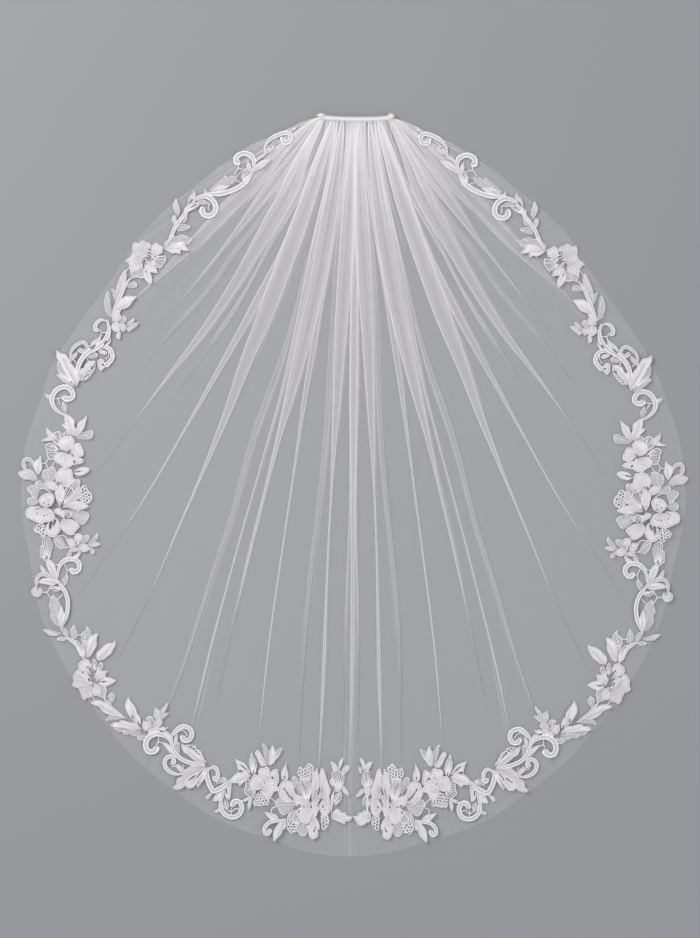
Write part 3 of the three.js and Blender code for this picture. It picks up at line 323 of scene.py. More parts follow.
motif("flower_side", (56, 497), [
    ("grey scroll", 4, -43, -58, -48, -71, -57, -76, -64, -71, -64, -62, -58, -59),
    ("satin leaf", -36, -43, -42, -52, -45, -62, -44, -70, -36, -76, -30, -82, -28, -70, -27, -58, -30,
     -50),
    ("grey leaf", -35, -34, -39, -44, -47, -53, -58, -57, -68, -53, -76, -49, -71, -40, -63, -35, -54,
     -35, -46, -32),
    ("bar", -28, -67, -20, -67, -16, -58),
    ("bar", -20, -68, -15, -76),
    ("bar", -2, -71, -7, -61),
    ("net petal", -14, -26, -24, -33, -28, -42, -26, -53, -18, -56, -10, -61, -2, -58, 0, -49, -2, -36),
    ("satin petal", 8, -11, -10, -14, -20, -23, -22, -29, -14, -32, -2, -30, 4, -22),
    ("satin petal", 12, -19, 0, -30, -1, -44, 4, -53, 12, -58, 20, -57, 30, -56, 34, -48, 35, -39, 40,
     -33, 34, -25, 22, -20),
    ("satin leaf", 34, -49, 40, -55, 48, -59, 60, -60, 68, -55, 60, -46, 48, -42, 40, -44),
    ("net petal", 28, -16, 32, -26, 38, -33, 45, -36, 49, -31, 47, -23, 40, -17),
    ("net petal", -11, -15, -23, -27, -32, -33, -40, -31, -41, -24, -34, -17, -26, -18),
    ("net petal", -32, -15, -40, -24, -50, -23, -58, -18, -55, -11, -50, -6, -46, 0, -38, 2, -36, -6),
    ("bar", -32, -16, -24, -17, -16, -13, -10, -10),
    ("net petal", -31, 9, -38, 2, -48, 0, -56, 4, -57, 12, -50, 17, -40, 16),
    ("ribs petal", 10, 16, 16, -2, 18, -16, 26, -22, 36, -15, 38, -5, 32, 5, 20, 13),
    ("grey petal", 14, 18, 34, 3, 40, -7, 40, -19, 47, -23, 50, -14, 51, 0, 42, 7, 28, 13),
    ("coarse petal", 46, -6, 49, -18, 54, -23, 61, -22, 65, -14, 71, -7, 73, 2, 68, 11, 60, 13, 52, 9,
     47, 5),
    ("satin petal", 8, 20, 1, 6, -2, -10, 2, -20, 10, -23, 17, -16, 18, -4, 14, 8),
    ("net petal", 20, 26, 34, 25, 48, 26, 60, 29, 67, 36, 63, 46, 54, 55, 46, 52, 34, 42, 26, 34),
    ("satin petal", 12, 20, 22, 13, 34, 8, 48, 8, 58, 12, 66, 19, 58, 24, 44, 26, 26, 23),
    ("ribs petal", 11, 28, 20, 25, 30, 30, 32, 39, 22, 42, 15, 37),
    ("coarse petal", -22, 49, -34, 53, -41, 58, -44, 64, -40, 71, -33, 73, -30, 79, -25, 81, -19, 75,
     -20, 62),
    ("satin petal", -4, 39, -14, 49, -19, 58, -20, 70, -13, 79, -2, 80, 6, 72, 10, 64, 9, 52, 3, 43),
    ("satin petal", 13, 43, 9, 52, 10, 62, 18, 71, 28, 76, 36, 75, 41, 67, 48, 59, 42, 50, 30, 44),
    ("satin petal", -20, 20, -36, 21, -48, 18, -57, 23, -61, 31, -58, 41, -48, 46, -40, 50, -30, 53, -18,
     50, -6, 47, -1, 37, -8, 25),
    ("satin petal", -18, 22, -30, 16, -34, 7, -30, -1, -20, -7, -10, -8, -3, -2, -3, 8, -8, 17),
    ("satin petal", 8, 21, -3, 24, -2, 31, 8, 37, 18, 43, 17, 31),
    ("bar", -38, 23, -34, 32, -26, 39, -16, 40, -6, 34),
], slits=[(1.2, -36, 33), (1.4, -30, 36), (1.4, -23, 38), (1.4, -16, 37), (1.2, -10, 34),
    (1, -39, 25, -35, 23), (1, -30, 21, -26, 21), (1.2, -20, 0), (1.2, -13, 5), (1.2, -23, 12),
    (1.2, -14, 15), (2.8, -9, 51, -12, 63), (2, -1, 47, -4, 55), (1.6, 5, -30, 7, -27), (1.4, 12, -28),
    (1.2, 19, -9, 30, -15), (1.2, 18, -1, 34, -9), (1.2, 15, 7, 32, -2), (1.2, 13, 14, 26, 7),
    (1.2, 16, 26, 28, 22), (1.2, 18, 31, 21, 40), (1.2, 24, 29, 27, 37), (1.2, 1, 37, 13, 44),
    (1.1, 38, -50, 46, -51)], beads=[(2, 45, 28), (2, 40, 22), (2, -25, 40), (2, 9, 6), (2, 8, -17)])
motif("sprig_side", (73, 546), [
    ("ribs leaf", -52, 32, -60, 20, -65, 22, -66, 10, -65, 0, -60, -2, -62, -12, -57, -18, -50, -19, -44,
     -12, -40, 0, -43, 12, -45, 24),
    ("net leaf", -11, 4, -25, 7, -31, 2, -36, -5, -38, -12, -39, -19, -32, -20, -24, -17, -19, -11, -16,
     -4),
    ("bar", -36, -20, -18, -20, -10, -12),
    ("bar", -16, 2, 0, 4),
    ("net leaf", -12, 26, -14, 20, -10, 12, -6, 7, -1, 9, -2, 16, -6, 24),
    ("satin leaf", -4, 26, 1, 19, 8, 14, 14, 10, 16, 14, 12, 22, 6, 27),
    ("grey leaf", 28, -4, 36, -6, 46, -9, 56, -4, 48, 1, 38, 2),
    ("net leaf", 30, -6, 36, -14, 42, -20, 48, -26, 51, -23, 49, -14, 42, -8, 36, -5),
    ("net leaf", 30, 0, 36, 2, 43, 8, 43, 14, 38, 16, 34, 12, 32, 6),
    ("net petal", 12, -6, 16, -14, 22, -21, 29, -22, 34, -18, 30, -10, 22, -5),
    ("satin petal", 10, -4, 3, -12, 2, -19, 7, -25, 15, -24, 20, -19, 18, -12),
    ("grey petal", 10, -4, -2, 0, -5, 7, 0, 12, 7, 11, 13, 10, 15, 2),
    ("satin petal", 12, -4, 14, 8, 20, 12, 28, 11, 33, 6, 30, -2, 22, -6),
    ("satin petal", 8, -4, -2, 3, -8, -1, -11, -8, -13, -14, -6, -15, 0, -15, 4, -10),
], slits=[(1.2, -61, 4, -61, 12), (1.2, 7, 1, 10, 2)], beads=[(2.2, 11, -5)])
motif("scroll_lower", (55, 587), [
    ("satin leaf", 3, -12, -6, -20, -13, -32, -17, -44, -18, -54, -10, -55, -3, -49, 2, -38, 4, -26),
    ("satin scroll", 4.8, 5, -18, 7, -34, 12, -46, 22, -54, 32, -56, 42, -54, 49, -46, 48, -36, 41, -30,
     35, -33, 36, -39),
    ("bar", -3, -43, 10, -45),
    ("bar", 19, -46, 26, -34, 34, -35),
    ("bar", 26, -34, 23, -24),
    ("net leaf", 14, -8, 13, -14, 17, -19, 22, -24, 26, -22, 26, -14, 23, -7, 19, -3),
    ("grey leaf", -2, -16, -14, -18, -22, -25, -28, -32, -29, -42, -26, -44, -20, -37, -14, -27, -8,
     -20),
    ("grey stem", 4, -6, -20, -20, -25, -30, -24, -36, -15, -37, 0),
    ("grey petal", -32, 2, -39, -2, -46, 4, -47, 12, -41, 19, -32, 20, -26, 14, -25, 6, -29, 0),
    ("bar", -38, -1, -40, 6, -35, 11, -30, 8),
    ("satin leaf", 8, -8, -4, -3, -18, -5, -32, -8, -33, -10, -26, -17, -14, -19, -2, -17, 6, -12),
    ("ribs leaf", 16, 6, 4, 10, -6, 6, -11, 0, -8, -3, 0, -2, 10, 0),
    ("satin stem", 4.2, 2, -18, 11, -5, 21, 10, 26, 26, 26, 42, 23, 58, 18, 70, 12, 83),
    ("bar", -26, 10, -16, 10, -10, 2),
    ("bar", -16, 10, -7, 24),
    ("bar", 6, 24, 16, 15),
    ("net leaf", 12, 80, 2, 76, -6, 66, -9, 56, -8, 48, -12, 39, -9, 28, -6, 17, 0, 19, 7, 26, 11, 34,
     12, 42, 8, 50, 7, 62),
    ("satin leaf", 13, 82, 6, 66, 6, 54, 11, 39, 15, 39, 18, 48, 22, 58, 18, 70),
])
motif("sprig_lower", (76, 640), [
    ("grey leaf", -28, -12, -38, -8, -52, -9, -59, -14, -66, -21, -56, -22, -44, -19, -34, -16),
    ("net leaf", -14, -5, -22, -8, -28, -16, -31, -24, -26, -26, -19, -22, -14, -14),
    ("net leaf", -12, -3, -24, 2, -34, 1, -38, -3, -32, -7, -22, -7),
    ("net leaf", -6, 0, -11, -8, -12, -18, -8, -26, -4, -31, 0, -24, 3, -14, 1, -4),
    ("bar", 0, -10, 14, -11),
    ("satin stem", 3.8, -20, -6, -8, 1, 2, 10, 8, 22, 17, 38),
    ("net leaf", 18, 14, 10, 0, 11, -12, 19, -21, 20, -28, 26, -24, 31, -16, 30, -6, 24, 2),
    ("satin leaf", 22, 36, 22, 22, 21, 6, 26, -5, 34, -11, 44, -13, 42, -2, 42, 10, 37, 20, 30, 32),
    ("net leaf", 20, 36, 15, 20, 12, 8, 16, 0, 23, 3, 28, 12, 29, 22, 26, 32),
    ("ribs leaf", 19, 37, 8, 31, 4, 20, 2, 10, -3, 2, 4, 1, 11, 7, 15, 16, 18, 24),
], beads=[(2.2, 19, -5)])
motif("flower_lower", (95, 675), [
    ("satin leaf", 5, -28, 2, -38, 4, -45, 12, -53, 19, -60, 28, -64, 35, -65, 41, -69, 41, -58, 36, -50,
     33, -43, 24, -36, 18, -31, 10, -29),
    ("grey petal", -6, 10, -18, -8, -32, -12, -39, -7, -44, 2, -43, 12, -46, 19, -40, 25, -30, 26, -18,
     22),
    ("grey petal", -4, 14, -18, 21, -33, 26, -29, 35, -27, 44, -21, 50, -15, 46, -7, 44, -4, 34),
    ("satin petal", -6, 0, -18, -7, -30, -10, -33, -17, -32, -23, -26, -29, -19, -32, -12, -30, -8, -22,
     -7, -12),
    ("ribs leaf", -2, -6, -8, -18, -6, -27, -1, -33, 3, -27, 5, -20, 3, -12),
    ("ribs leaf", 3, -3, 5, -14, 7, -21, 12, -26, 17, -20, 15, -13, 10, -7),
    ("satin leaf", 6, 13, 14, 7, 22, 4, 30, 5, 37, 8, 42, 12, 35, 17, 28, 21, 20, 23, 12, 19),
    ("satin petal", 0, 8, -1, -1, 4, -7, 12, -9, 18, -9, 25, -8, 22, -1, 21, 5, 12, 9),
    ("net petal", 4, 18, 12, 14, 22, 23, 24, 30, 22, 39, 21, 46, 14, 45, 9, 41, 10, 30),
    ("satin petal", -2, 14, -5, 25, -6, 35, -2, 41, 4, 41, 11, 43, 13, 33, 10, 23),
    ("satin petal", -4, 12, -10, 3, -17, -2, -24, -1, -23, 8, -17, 16, -10, 20),
], slits=[(1.8, -24, -6), (1.6, -14, -16), (1.7, -10, -13, -7, -6), (1.7, -2, -3),
    (1.8, -12, 8, -11, 12), (1.6, -8, 5, -5, 14), (1.7, 0, 9), (1.3, 12, 13, 20, 14), (1.5, -4, 22)],
    beads=[(2, 5, 10), (2, -6, 16)])
motif("stem_lower", (120, 715), [
    ("bar", -58, -42, -49, -28),
    ("net leaf", 8, 8, -4, 9, -16, 10, -28, 11, -24, 4, -18, -1, -8, -1, 2, 4),
    ("satin leaf", 4, 7, -2, 4, -16, 0, -28, -3, -36, -9, -42, -16, -52, -21, -59, -25, -52, -29, -44,
     -30, -34, -28, -28, -23, -20, -17, -10, -8, 0, 0),
    ("net leaf", -19, -20, -23, -30, -24, -38, -20, -43, -15, -45, -10, -38, -11, -31, -15, -25),
    ("satin stem", 3.2, -32, -35, -24, -23, -14, -12, -2, -2, 11, 7),
    ("net leaf", 44, 32, 38, 38, 32, 42, 25, 40, 19, 37, 14, 39, 8, 37, 3, 31, -2, 33, -7, 30, -12, 24,
     0, 24, 16, 27, 30, 29),
    ("satin leaf", 34, 20, 22, 6, 14, -6, 10, -16, 11, -24, 14, -31, 17, -36, 22, -28, 28, -20, 33, -12,
     35, -4, 39, 1, 42, 8, 42, 18),
    ("satin leaf", 44, 29, 26, 30, 12, 27, -2, 24, -16, 23, -17, 18, -11, 14, -3, 14, 2, 10, 10, 11, 18,
     14, 28, 15, 38, 21),
], slits=[(1.2, 25, 1, 26, 6), (1.2, 37, 14, 39, 22)])
motif("flower_small", (156, 727), [
    ("grey leaf", 1, -12, -5, -22, -5, -30, -2, -39, 4, -36, 9, -32, 8, -22, 6, -14),
    ("grey leaf", 6, -13, 8, -26, 10, -36, 16, -42, 22, -49, 24, -44, 20, -34, 14, -25),
    ("grey leaf", 5, -14, 10, -24, 17, -29, 26, -28, 20, -21, 14, -16, 9, -13),
    ("satin leaf", 3, 4, 10, 0, 15, -2, 18, 1, 25, -1, 20, 6, 13, 8),
    ("net leaf", -14, 18, -24, 26, -32, 26, -38, 21, -36, 16, -30, 13, -22, 14),
    ("net petal", -12, -6, -18, -11, -20, -17, -16, -21, -10, -22, -5, -19, -4, -12),
    ("grey petal", -8, -2, -5, -12, 4, -16, 11, -14, 14, -9, 10, -2, 4, 4),
    ("satin petal", -8, 0, -17, 7, -14, 13, -8, 16, 0, 13, 8, 6, 4, 0),
    ("satin petal", -6, -2, -20, 8, -26, 2, -27, -6, -25, -13, -18, -11, -10, -10),
    ("satin scroll", 5.6, 32, 32, 24, 22, 14, 16, 2, 13, -10, 17, -18, 26, -20, 38, -15, 48, -6, 49, 0,
     44, 0, 37),
    ("bar", 5, 16, 5, 28, 1, 36),
    ("bar", 5, 29, 18, 33),
    ("satin leaf", 32, 29, 23, 22, 17, 15, 15, 9, 22, 8, 28, 13, 32, 20),
], slits=[(1.3, -27, 14, -23, 13), (1.3, -5, -19)])
motif("scroll_hem", (186, 758), [
    ("satin scroll", 4.8, -28, -34, -27, -47, -18, -57, -8, -63, 2, -62, 10, -56, 12, -46, 8, -38, 0,
     -35, -6, -40, -5, -46),
    ("bar", -24, -46, -16, -52, -9, -56, -2, -53, 4, -44),
    ("bar", -9, -56, -4, -62),
    ("net leaf", -18, -2, -22, -12, -22, -24, -18, -32, -13, -30, -12, -20, -13, -8),
    ("satin leaf", -23, -24, -25, -36, -22, -44, -17, -48, -16, -40, -18, -30),
    ("satin leaf", -26, -6, -34, -12, -40, -20, -46, -27, -49, -31, -42, -31, -35, -28, -29, -20),
    ("satin scroll", 4.2, -2, 29, -16, 32, -30, 28, -40, 18, -42, 6, -36, -2, -28, -3, -24, 4, -27, 14),
    ("satin petal", -3, 29, -12, 27, -18, 21, -21, 14, -16, 12, -10, 15, -5, 22),
    ("bar", -28, 16, -20, 17),
    ("bar", -6, 13, -5, 21),
    ("satin stem", 4.4, -32, -46, -28, -28, -24, -14, -16, -4, -4, 4, 8, 9, 22, 12, 38, 14),
    ("coarse leaf", 41, 12, 30, 0, 20, -8, 10, -16, 2, -21, -1, -26, 10, -27, 20, -24, 24, -18, 30, -14,
     32, -6, 34, 0, 41, 6),
    ("satin leaf", 40, 16, 26, 10, 16, 4, 9, -2, 3, -8, -4, -12, -8, -20, -9, -29, -4, -27, 4, -22, 14,
     -14, 24, -6, 34, 4),
    ("grey leaf", 42, 16, 24, 12, 10, 14, 2, 20, -6, 23, -9, 28, -8, 35, -15, 38, -19, 44, -20, 52, -27,
     58, -20, 63, -8, 61, -3, 54, 4, 50, 16, 42, 28, 30),
    ("satin leaf", 42, 18, 28, 22, 12, 32, 0, 42, -3, 52, 4, 60, 14, 59, 20, 52, 26, 40, 36, 26),
    ("ribs leaf", 44, 18, 34, 26, 26, 36, 20, 46, 21, 54, 24, 58, 30, 51, 37, 42, 43, 30),
], slits=[(1.5, 7, -23), (1.5, 13, -19), (1.5, 20, -13), (1.5, 25, -8), (1.2, 6, 44, 18, 35),
    (1.2, 24, 38, 32, 27)])
motif("ring_hem", (227, 788), [
    ("satin scroll", 4, -38, -34, -33, -40, -26, -42, -20, -37, -18, -28, -21, -18, -25, -19, -25, -25),
    ("ribs leaf", 4, -17, -6, -11, -16, -9, -22, -12, -19, -18, -14, -22, -4, -22),
    ("satin leaf", -29, 6, -35, 10, -42, 16, -42, 21, -37, 22, -33, 16, -28, 11),
    ("satin leaf", -11, 0, -19, 6, -24, 14, -28, 22, -27, 26, -18, 26, -12, 20, -10, 10),
    ("satin leaf", 5, -15, -3, -4, -5, 6, -4, 16, 1, 22, 6, 22, 8, 10, 9, -2, 10, -11),
    ("grey leaf", -11, 36, -18, 40, -26, 45, -24, 49, -16, 48, -9, 43),
    ("satin scroll", 4.8, -7, -4, -9, 14, -12, 26, -12, 38, -7, 49, 2, 56, 12, 58, 23, 54, 29, 44, 29,
     34, 24, 27, 17, 26, 12, 32, 13, 38),
    ("net leaf", -5, 22, -8, 30, -7, 38, 0, 43, 4, 36, 2, 28),
    ("bar", 8, 40, 9, 54),
    ("bar", 0, 43, 9, 47, 17, 41, 26, 43),
    ("satin stem", 5, -38, -42, -40, -28, -38, -16, -33, -4, -27, 5, -18, 3, -8, -3, 0, -10, 7, -17),
    ("bar", 24, -41, 22, -33),
    ("satin leaf", 48, -29, 40, -33, 30, -36, 22, -39, 20, -46, 18, -52, 16, -58, 22, -56, 30, -53, 38,
     -47, 44, -38),
    ("satin leaf", 49, -25, 42, -21, 38, -18, 37, -14, 31, -10, 25, -5, 22, -10, 12, -10, 6, -16, 12,
     -24, 20, -31, 28, -32, 36, -35, 42, -30),
], slits=[(1.2, -1, 2, -1, 11), (1.2, 29, -46, 38, -38)])
motif("flower_hem", (263, 776), [
    ("satin leaf", 9, -20, -2, -20, -8, -27, -12, -37, -16, -45, -14, -50, -9, -52, -4, -46, 2, -36, 7,
     -28),
    ("net leaf", 9, -22, 5, -32, 1, -42, 0, -53, -2, -65, 4, -63, 9, -55, 12, -47, 12, -34),
    ("ribs leaf", 13, -20, 17, -25, 21, -33, 23, -43, 26, -51, 32, -55, 39, -56, 36, -47, 31, -39, 25,
     -33, 22, -25),
    ("satin leaf", 11, -21, 10, -31, 11, -43, 13, -53, 16, -57, 18, -63, 23, -57, 25, -50, 24, -38, 19,
     -28),
    ("ribs leaf", -18, -2, -24, -9, -28, -19, -28, -30, -26, -39, -23, -47, -18, -39, -13, -30, -12, -19,
     -14, -8),
    ("ribs petal", -14, 24, -26, 5, -34, 7, -35, 16, -36, 24, -38, 31, -33, 37, -25, 43, -18, 40, -14,
     32),
    ("satin petal", 0, 18, -7, 2, -10, -9, -5, -16, 2, -17, 8, -19, 13, -15, 15, -6, 12, 4, 7, 12),
    ("satin petal", 8, 16, 13, 3, 15, -8, 21, -13, 29, -14, 31, -6, 32, 4, 31, 14, 24, 20),
    ("satin petal", 0, 26, -12, 28, -22, 26, -25, 16, -24, 5, -17, -3, -8, -2, 0, 5, 4, 15),
    ("coarse petal", -4, 28, -15, 37, -20, 46, -18, 59, -11, 59, -5, 60, 3, 57, 11, 58, 13, 49, 10, 41,
     2, 34),
    ("satin petal", -3, 30, -1, 18, 6, 10, 14, 7, 23, 10, 29, 19, 32, 29, 23, 31, 18, 39, 12, 47, 3, 43),
    ("satin leaf", -25, 39, -33, 42, -40, 46, -44, 50, -36, 51, -28, 47),
    ("satin leaf", -25, 39, -29, 47, -31, 56, -29, 67, -24, 60, -22, 51, -22, 42),
], slits=[(2.1, 19, 3), (2, 24, 7), (1.8, 4, 13), (1.6, 9, 1), (1.8, -20, 35)],
    beads=[(2, -4, 31), (2, 19, 15)])
motif("flower_bottom", (301, 804), [
    ("satin leaf", -32, -47, -38, -50, -40, -60, -37, -70, -32, -79, -29, -84, -28, -72, -25, -60, -26,
     -49),
    ("net petal", -4, -18, -19, -46, -18, -53, -13, -56, -7, -52, -3, -43, 0, -32),
    ("coarse petal", 12, -36, -3, -50, -7, -61, -5, -71, -1, -75, 5, -71, 10, -76, 15, -82, 22, -79, 27,
     -73, 26, -64, 22, -52),
    ("satin petal", 38, 16, 24, -8, 25, -36, 32, -54, 39, -60, 48, -44, 55, -20, 52, 8),
    ("satin petal", 46, 8, 39, -16, 37, -40, 37, -62, 41, -72, 47, -68, 51, -54, 56, -39, 60, -28, 57,
     -16, 59, -4, 54, 6),
    ("satin petal", 25, 8, 21, -12, 20, -36, 22, -54, 28, -67, 33, -72, 35, -60, 37, -46, 36, -30, 32,
     -12),
    ("ribs petal", 14, -2, 0, -19, -3, -35, -2, -48, 7, -53, 16, -50, 21, -39, 22, -20),
    ("satin petal", -10, -4, -30, -2, -41, -12, -46, -24, -44, -35, -40, -43, -32, -47, -21, -46, -14,
     -37, -10, -25, -6, -14),
    ("net petal", -10, 0, -20, -5, -30, -9, -40, -12, -47, -11, -50, -3, -47, 7, -42, 17, -35, 22, -26,
     18, -17, 10),
    ("satin petal", 22, -2, 4, -16, -7, -19, -13, -12, -13, -1, -5, 5, 6, 5, 16, 3),
    ("net petal", -2, 16, -9, 11, -20, 14, -26, 22, -29, 31, -26, 39, -16, 37, -4, 37, 3, 32),
    ("bar", -8, 14, -14, 22, -18, 29, -12, 36, -5, 42),
    ("bar", -21, 15, -23, 26, -20, 36),
    ("coarse petal", -2, 32, -16, 35, -28, 39, -28, 49, -24, 54, -20, 59, -15, 56, -7, 55, -2, 47),
    ("net petal", 6, 28, -2, 39, -6, 50, -4, 59, 3, 64, 9, 62, 13, 54, 12, 42),
    ("coarse petal", 44, 12, 39, 25, 40, 38, 41, 48, 46, 52, 51, 48, 55, 40, 57, 33, 54, 22),
    ("satin petal", 22, 16, 12, 31, 11, 44, 14, 57, 17, 65, 24, 70, 31, 67, 35, 61, 34, 53, 38, 47, 36,
     36, 30, 26),
    ("satin petal", 48, -12, 39, -5, 36, 6, 40, 18, 49, 23, 57, 17, 59, 5, 58, -5),
    ("satin petal", 30, -14, 21, -6, 19, 6, 21, 19, 27, 26, 33, 18, 37, 6, 38, -6),
    ("satin petal", 19, -2, 7, 4, -4, 7, -8, 15, -5, 27, 2, 37, 12, 39, 20, 32, 23, 18),
    ("satin leaf", -42, 33, -58, 33, -66, 26, -73, 15, -62, 17, -52, 19, -45, 26),
    ("satin leaf", -30, 30, -41, 32, -48, 41, -54, 51, -56, 62, -54, 74, -46, 67, -39, 59, -37, 52, -31,
     48, -29, 38),
    ("satin scroll", 4, -30, 30, -48, 33, -61, 35, -71, 44, -73, 54, -68, 59, -63, 55, -64, 48),
    ("top bar", -62, -14, -52, -6, -50, 4, -58, 8, -59, 20),
], slits=[(1.2, -1, -40, 4, -29), (1.2, 5, -38, 11, -26), (1.2, 11, -32, 16, -21), (1.2, 1, -26, 6, -15),
    (1.2, 8, -23, 15, -13), (1.2, -13, -32, -10, -23), (1.4, -20, -14, -17, -10),
    (1.1, -8, -38, -6, -24), (1, -33, -56, -32, -52), (1.1, -34, -32, -22, -14), (1.1, 30, 44, 26, 54),
    (2, -3, 2), (1.9, 5, 4), (1.9, 20, 5), (2.4, 43, 5), (1.9, 47, 11), (1.4, 28, -16, 32, -30),
    (1.4, 34, -20, 38, -34), (1.3, 41, -24, 42, -34), (1.4, 33, 3, 41, -11), (1.9, 15, 39),
    (1.6, -4, 15)], beads=[(2, 30, 22), (2, 0, 9)])
motif("spray_bottom", (339, 787), [
    ("satin stem", 2, -10, 8, -14, 22, -15, 38, -16, 52),
    ("satin leaf", -4, -30, -12, -33, -15, -42, -17, -51, -11, -50, -5, -45, -2, -38),
    ("satin leaf", -1, -32, -2, -42, 0, -51, 5, -57, 9, -60, 8, -51, 5, -42, 2, -35),
    ("grey leaf", 4, -22, 4, -32, 8, -40, 13, -44, 20, -44, 22, -38, 18, -32, 13, -27, 9, -23),
    ("ribs petal", -2, 6, -11, -4, -14, -16, -15, -28, -10, -34, -4, -34, 4, -32, 10, -26, 11, -16, 9,
     -6, 5, 2),
    ("satin petal", -6, 2, -12, -1, -18, -7, -19, -14, -14, -17, -9, -13, -6, -6),
    ("satin leaf", 4, -4, 8, -4, 15, 3, 19, 10, 20, 17, 13, 14, 7, 8, 4, 2),
    ("satin petal", -2, -14, -9, 0, -8, 8, -1, 9, 5, 3, 6, -8),
    ("ribs leaf", -12, 36, -17, 29, -12, 20, -4, 13, 4, 8, 6, 19, 2, 29, -5, 36),
    ("satin petal", -17, 56, -12, 48, -3, 43, 5, 50, 13, 50, 15, 55, 21, 58, 28, 57, 24, 65, 17, 69, 13,
     69, 11, 74, 2, 71, -7, 67, -14, 63),
], sides=["left"])
# The small spray beside the middle is another one on the right, written as if on the left
motif("spray_bottom", (336, 789), [
    ("satin stem", 2, -6, 6, -4, 22, -6, 46),
    ("satin leaf", 2, -36, 7, -42, 9, -52, 12, -60, 10, -63, 4, -58, 0, -50, -1, -42),
    ("satin leaf", -1, -36, 0, -48, -5, -54, -14, -55, -12, -48, -8, -40, -5, -36),
    ("grey leaf", 5, -34, 9, -31, 13, -36, 15, -42, 12, -45, 7, -42),
    ("ribs petal", -2, 2, 7, -8, 8, -20, 5, -30, 1, -37, -7, -37, -10, -28, -9, -16, -7, -4),
    ("satin petal", -4, 6, -6, -10, -10, -21, -15, -19, -15, -12, -11, -6, -10, 2),
    ("satin leaf", 2, -2, 8, -1, 14, 6, 19, 15, 11, 14, 6, 10, 2, 5),
    ("satin petal", 0, -12, 3, -2, 1, 8, -5, 13, -10, 12, -11, 4, -9, -8),
    ("ribs leaf", -12, 36, -3, 34, 4, 31, 4, 20, 0, 12, -6, 16, -12, 21, -15, 28),
    ("satin petal", -14, 56, -10, 66, -4, 65, 0, 71, 10, 72, 16, 66, 21, 58, 21, 53, 14, 52, 13, 47, 6,
     46, 1, 42, -7, 42, -12, 48),
], sides=["right"])


def on_axis(x, y):
    """Photo pixels to pixels from the middle of the comb, measured along and across the veil."""
    dx, dy = x - AXIS_TOP[0], y - AXIS_TOP[1]
    return dx + AXIS_TILT * dy, dy - AXIS_TILT * dx


def to_plane(across, below):
    return across * PIXEL, TOP_Y - below * PIXEL


def smooth(t):
    t = np.clip(t, 0.0, 1.0)
    return t * t * (3 - 2 * t)


def flowing_line(points, steps):
    """A smooth line through the points, as an array."""
    p = np.array(points, float)
    if len(p) == 2:
        t = np.linspace(0, 1, steps + 1)[:, None]
        return p[0] * (1 - t) + p[1] * t
    ends = np.vstack([2 * p[0] - p[1], p, 2 * p[-1] - p[-2]])
    line = []
    for a, b, c, d in zip(ends, ends[1:], ends[2:], ends[3:]):
        for t in np.linspace(0, 1, steps, endpoint=False):
            line.append(0.5 * (2 * b + (c - a) * t + (2 * a - 5 * b + 4 * c - d) * t * t
                               + (3 * b - a - 3 * c + d) * t ** 3))
    line.append(p[-1])
    return np.array(line)


def travelled(line):
    """Distance along a line at each of its points."""
    steps = np.hypot(*np.diff(line[:, :2], axis=0).T)
    return np.concatenate([[0], np.cumsum(steps)])


def along(line, shares):
    """Points of a line at shares of its length."""
    gone = travelled(line)
    at = np.asarray(shares) * gone[-1]
    return np.stack([np.interp(at, gone, line[:, k]) for k in range(line.shape[1])], axis=-1)


def new_mesh(name, points, faces=(), edges=()):
    mesh = bpy.data.meshes.new(name)
    mesh.from_pydata([tuple(map(float, p)) for p in points], list(edges), list(faces))
    mesh.update()
    piece = bpy.data.objects.new(name, mesh)
    bpy.context.scene.collection.objects.link(piece)
    return piece


def write_uv(mesh, uv_of_corner, name="UVMap"):
    layer = mesh.uv_layers.get(name) or mesh.uv_layers.new(name=name)
    layer.data.foreach_set("uv", np.asarray(uv_of_corner, np.float32).ravel())


def write_value(mesh, name, values, kind="FLOAT"):
    """One value for each point of a mesh."""
    values = np.asarray(values, bool if kind == "BOOLEAN" else np.float32)
    mesh.attributes.new(name, kind, "POINT").data.foreach_set("value", values.ravel())


# Nodes

def feed(tree, made, inputs):
    """Gives a node its inputs: a socket is linked, anything else is the input's value."""
    for name, value in inputs.items():
        if isinstance(value, bpy.types.NodeSocket):
            tree.links.new(value, made.inputs[name])
        else:
            made.inputs[name].default_value = value


def add(tree, kind, inputs=None, **settings):
    made = tree.nodes.new(kind)
    for key, value in settings.items():
        setattr(made, key, value)
    feed(tree, made, inputs or {})
    return made


def maths(tree, operation, a, b=0.5, clamp=False):
    made = add(tree, "ShaderNodeMath", {0: a, 1: b}, operation=operation, use_clamp=clamp)
    return made.outputs[0]


def vector_maths(tree, operation, a, b=(0, 0, 0), out="Vector"):
    return add(tree, "ShaderNodeVectorMath", {0: a, 1: b}, operation=operation).outputs[out]


def stepped(tree, value, low, high, start=0.0, end=1.0):
    """Smoothly from start to end while value goes from low to high."""
    made = add(tree, "ShaderNodeMapRange", {"Value": value, "From Min": low, "From Max": high,
                                            "To Min": start, "To Max": end},
               interpolation_type="SMOOTHSTEP")
    return made.outputs[0]


def node_tree(kind, name, takes, gives):
    """A node group and its two inner ends, with named inputs (name: kind of socket, default)
    and outputs (name: kind of socket)."""
    group = bpy.data.node_groups.new(name, f"{kind}NodeTree")
    for label, (socket, default) in takes.items():
        made = group.interface.new_socket(label, in_out="INPUT",
                                          socket_type=f"NodeSocket{socket}")
        if default is not None:
            made.default_value = default
    for label, socket in gives.items():
        group.interface.new_socket(label, in_out="OUTPUT", socket_type=f"NodeSocket{socket}")
    return group, group.nodes.new("NodeGroupInput").outputs, group.nodes.new("NodeGroupOutput")


def use(tree, group, inputs):
    return add(tree, "ShaderNodeGroup", inputs, node_tree=group).outputs


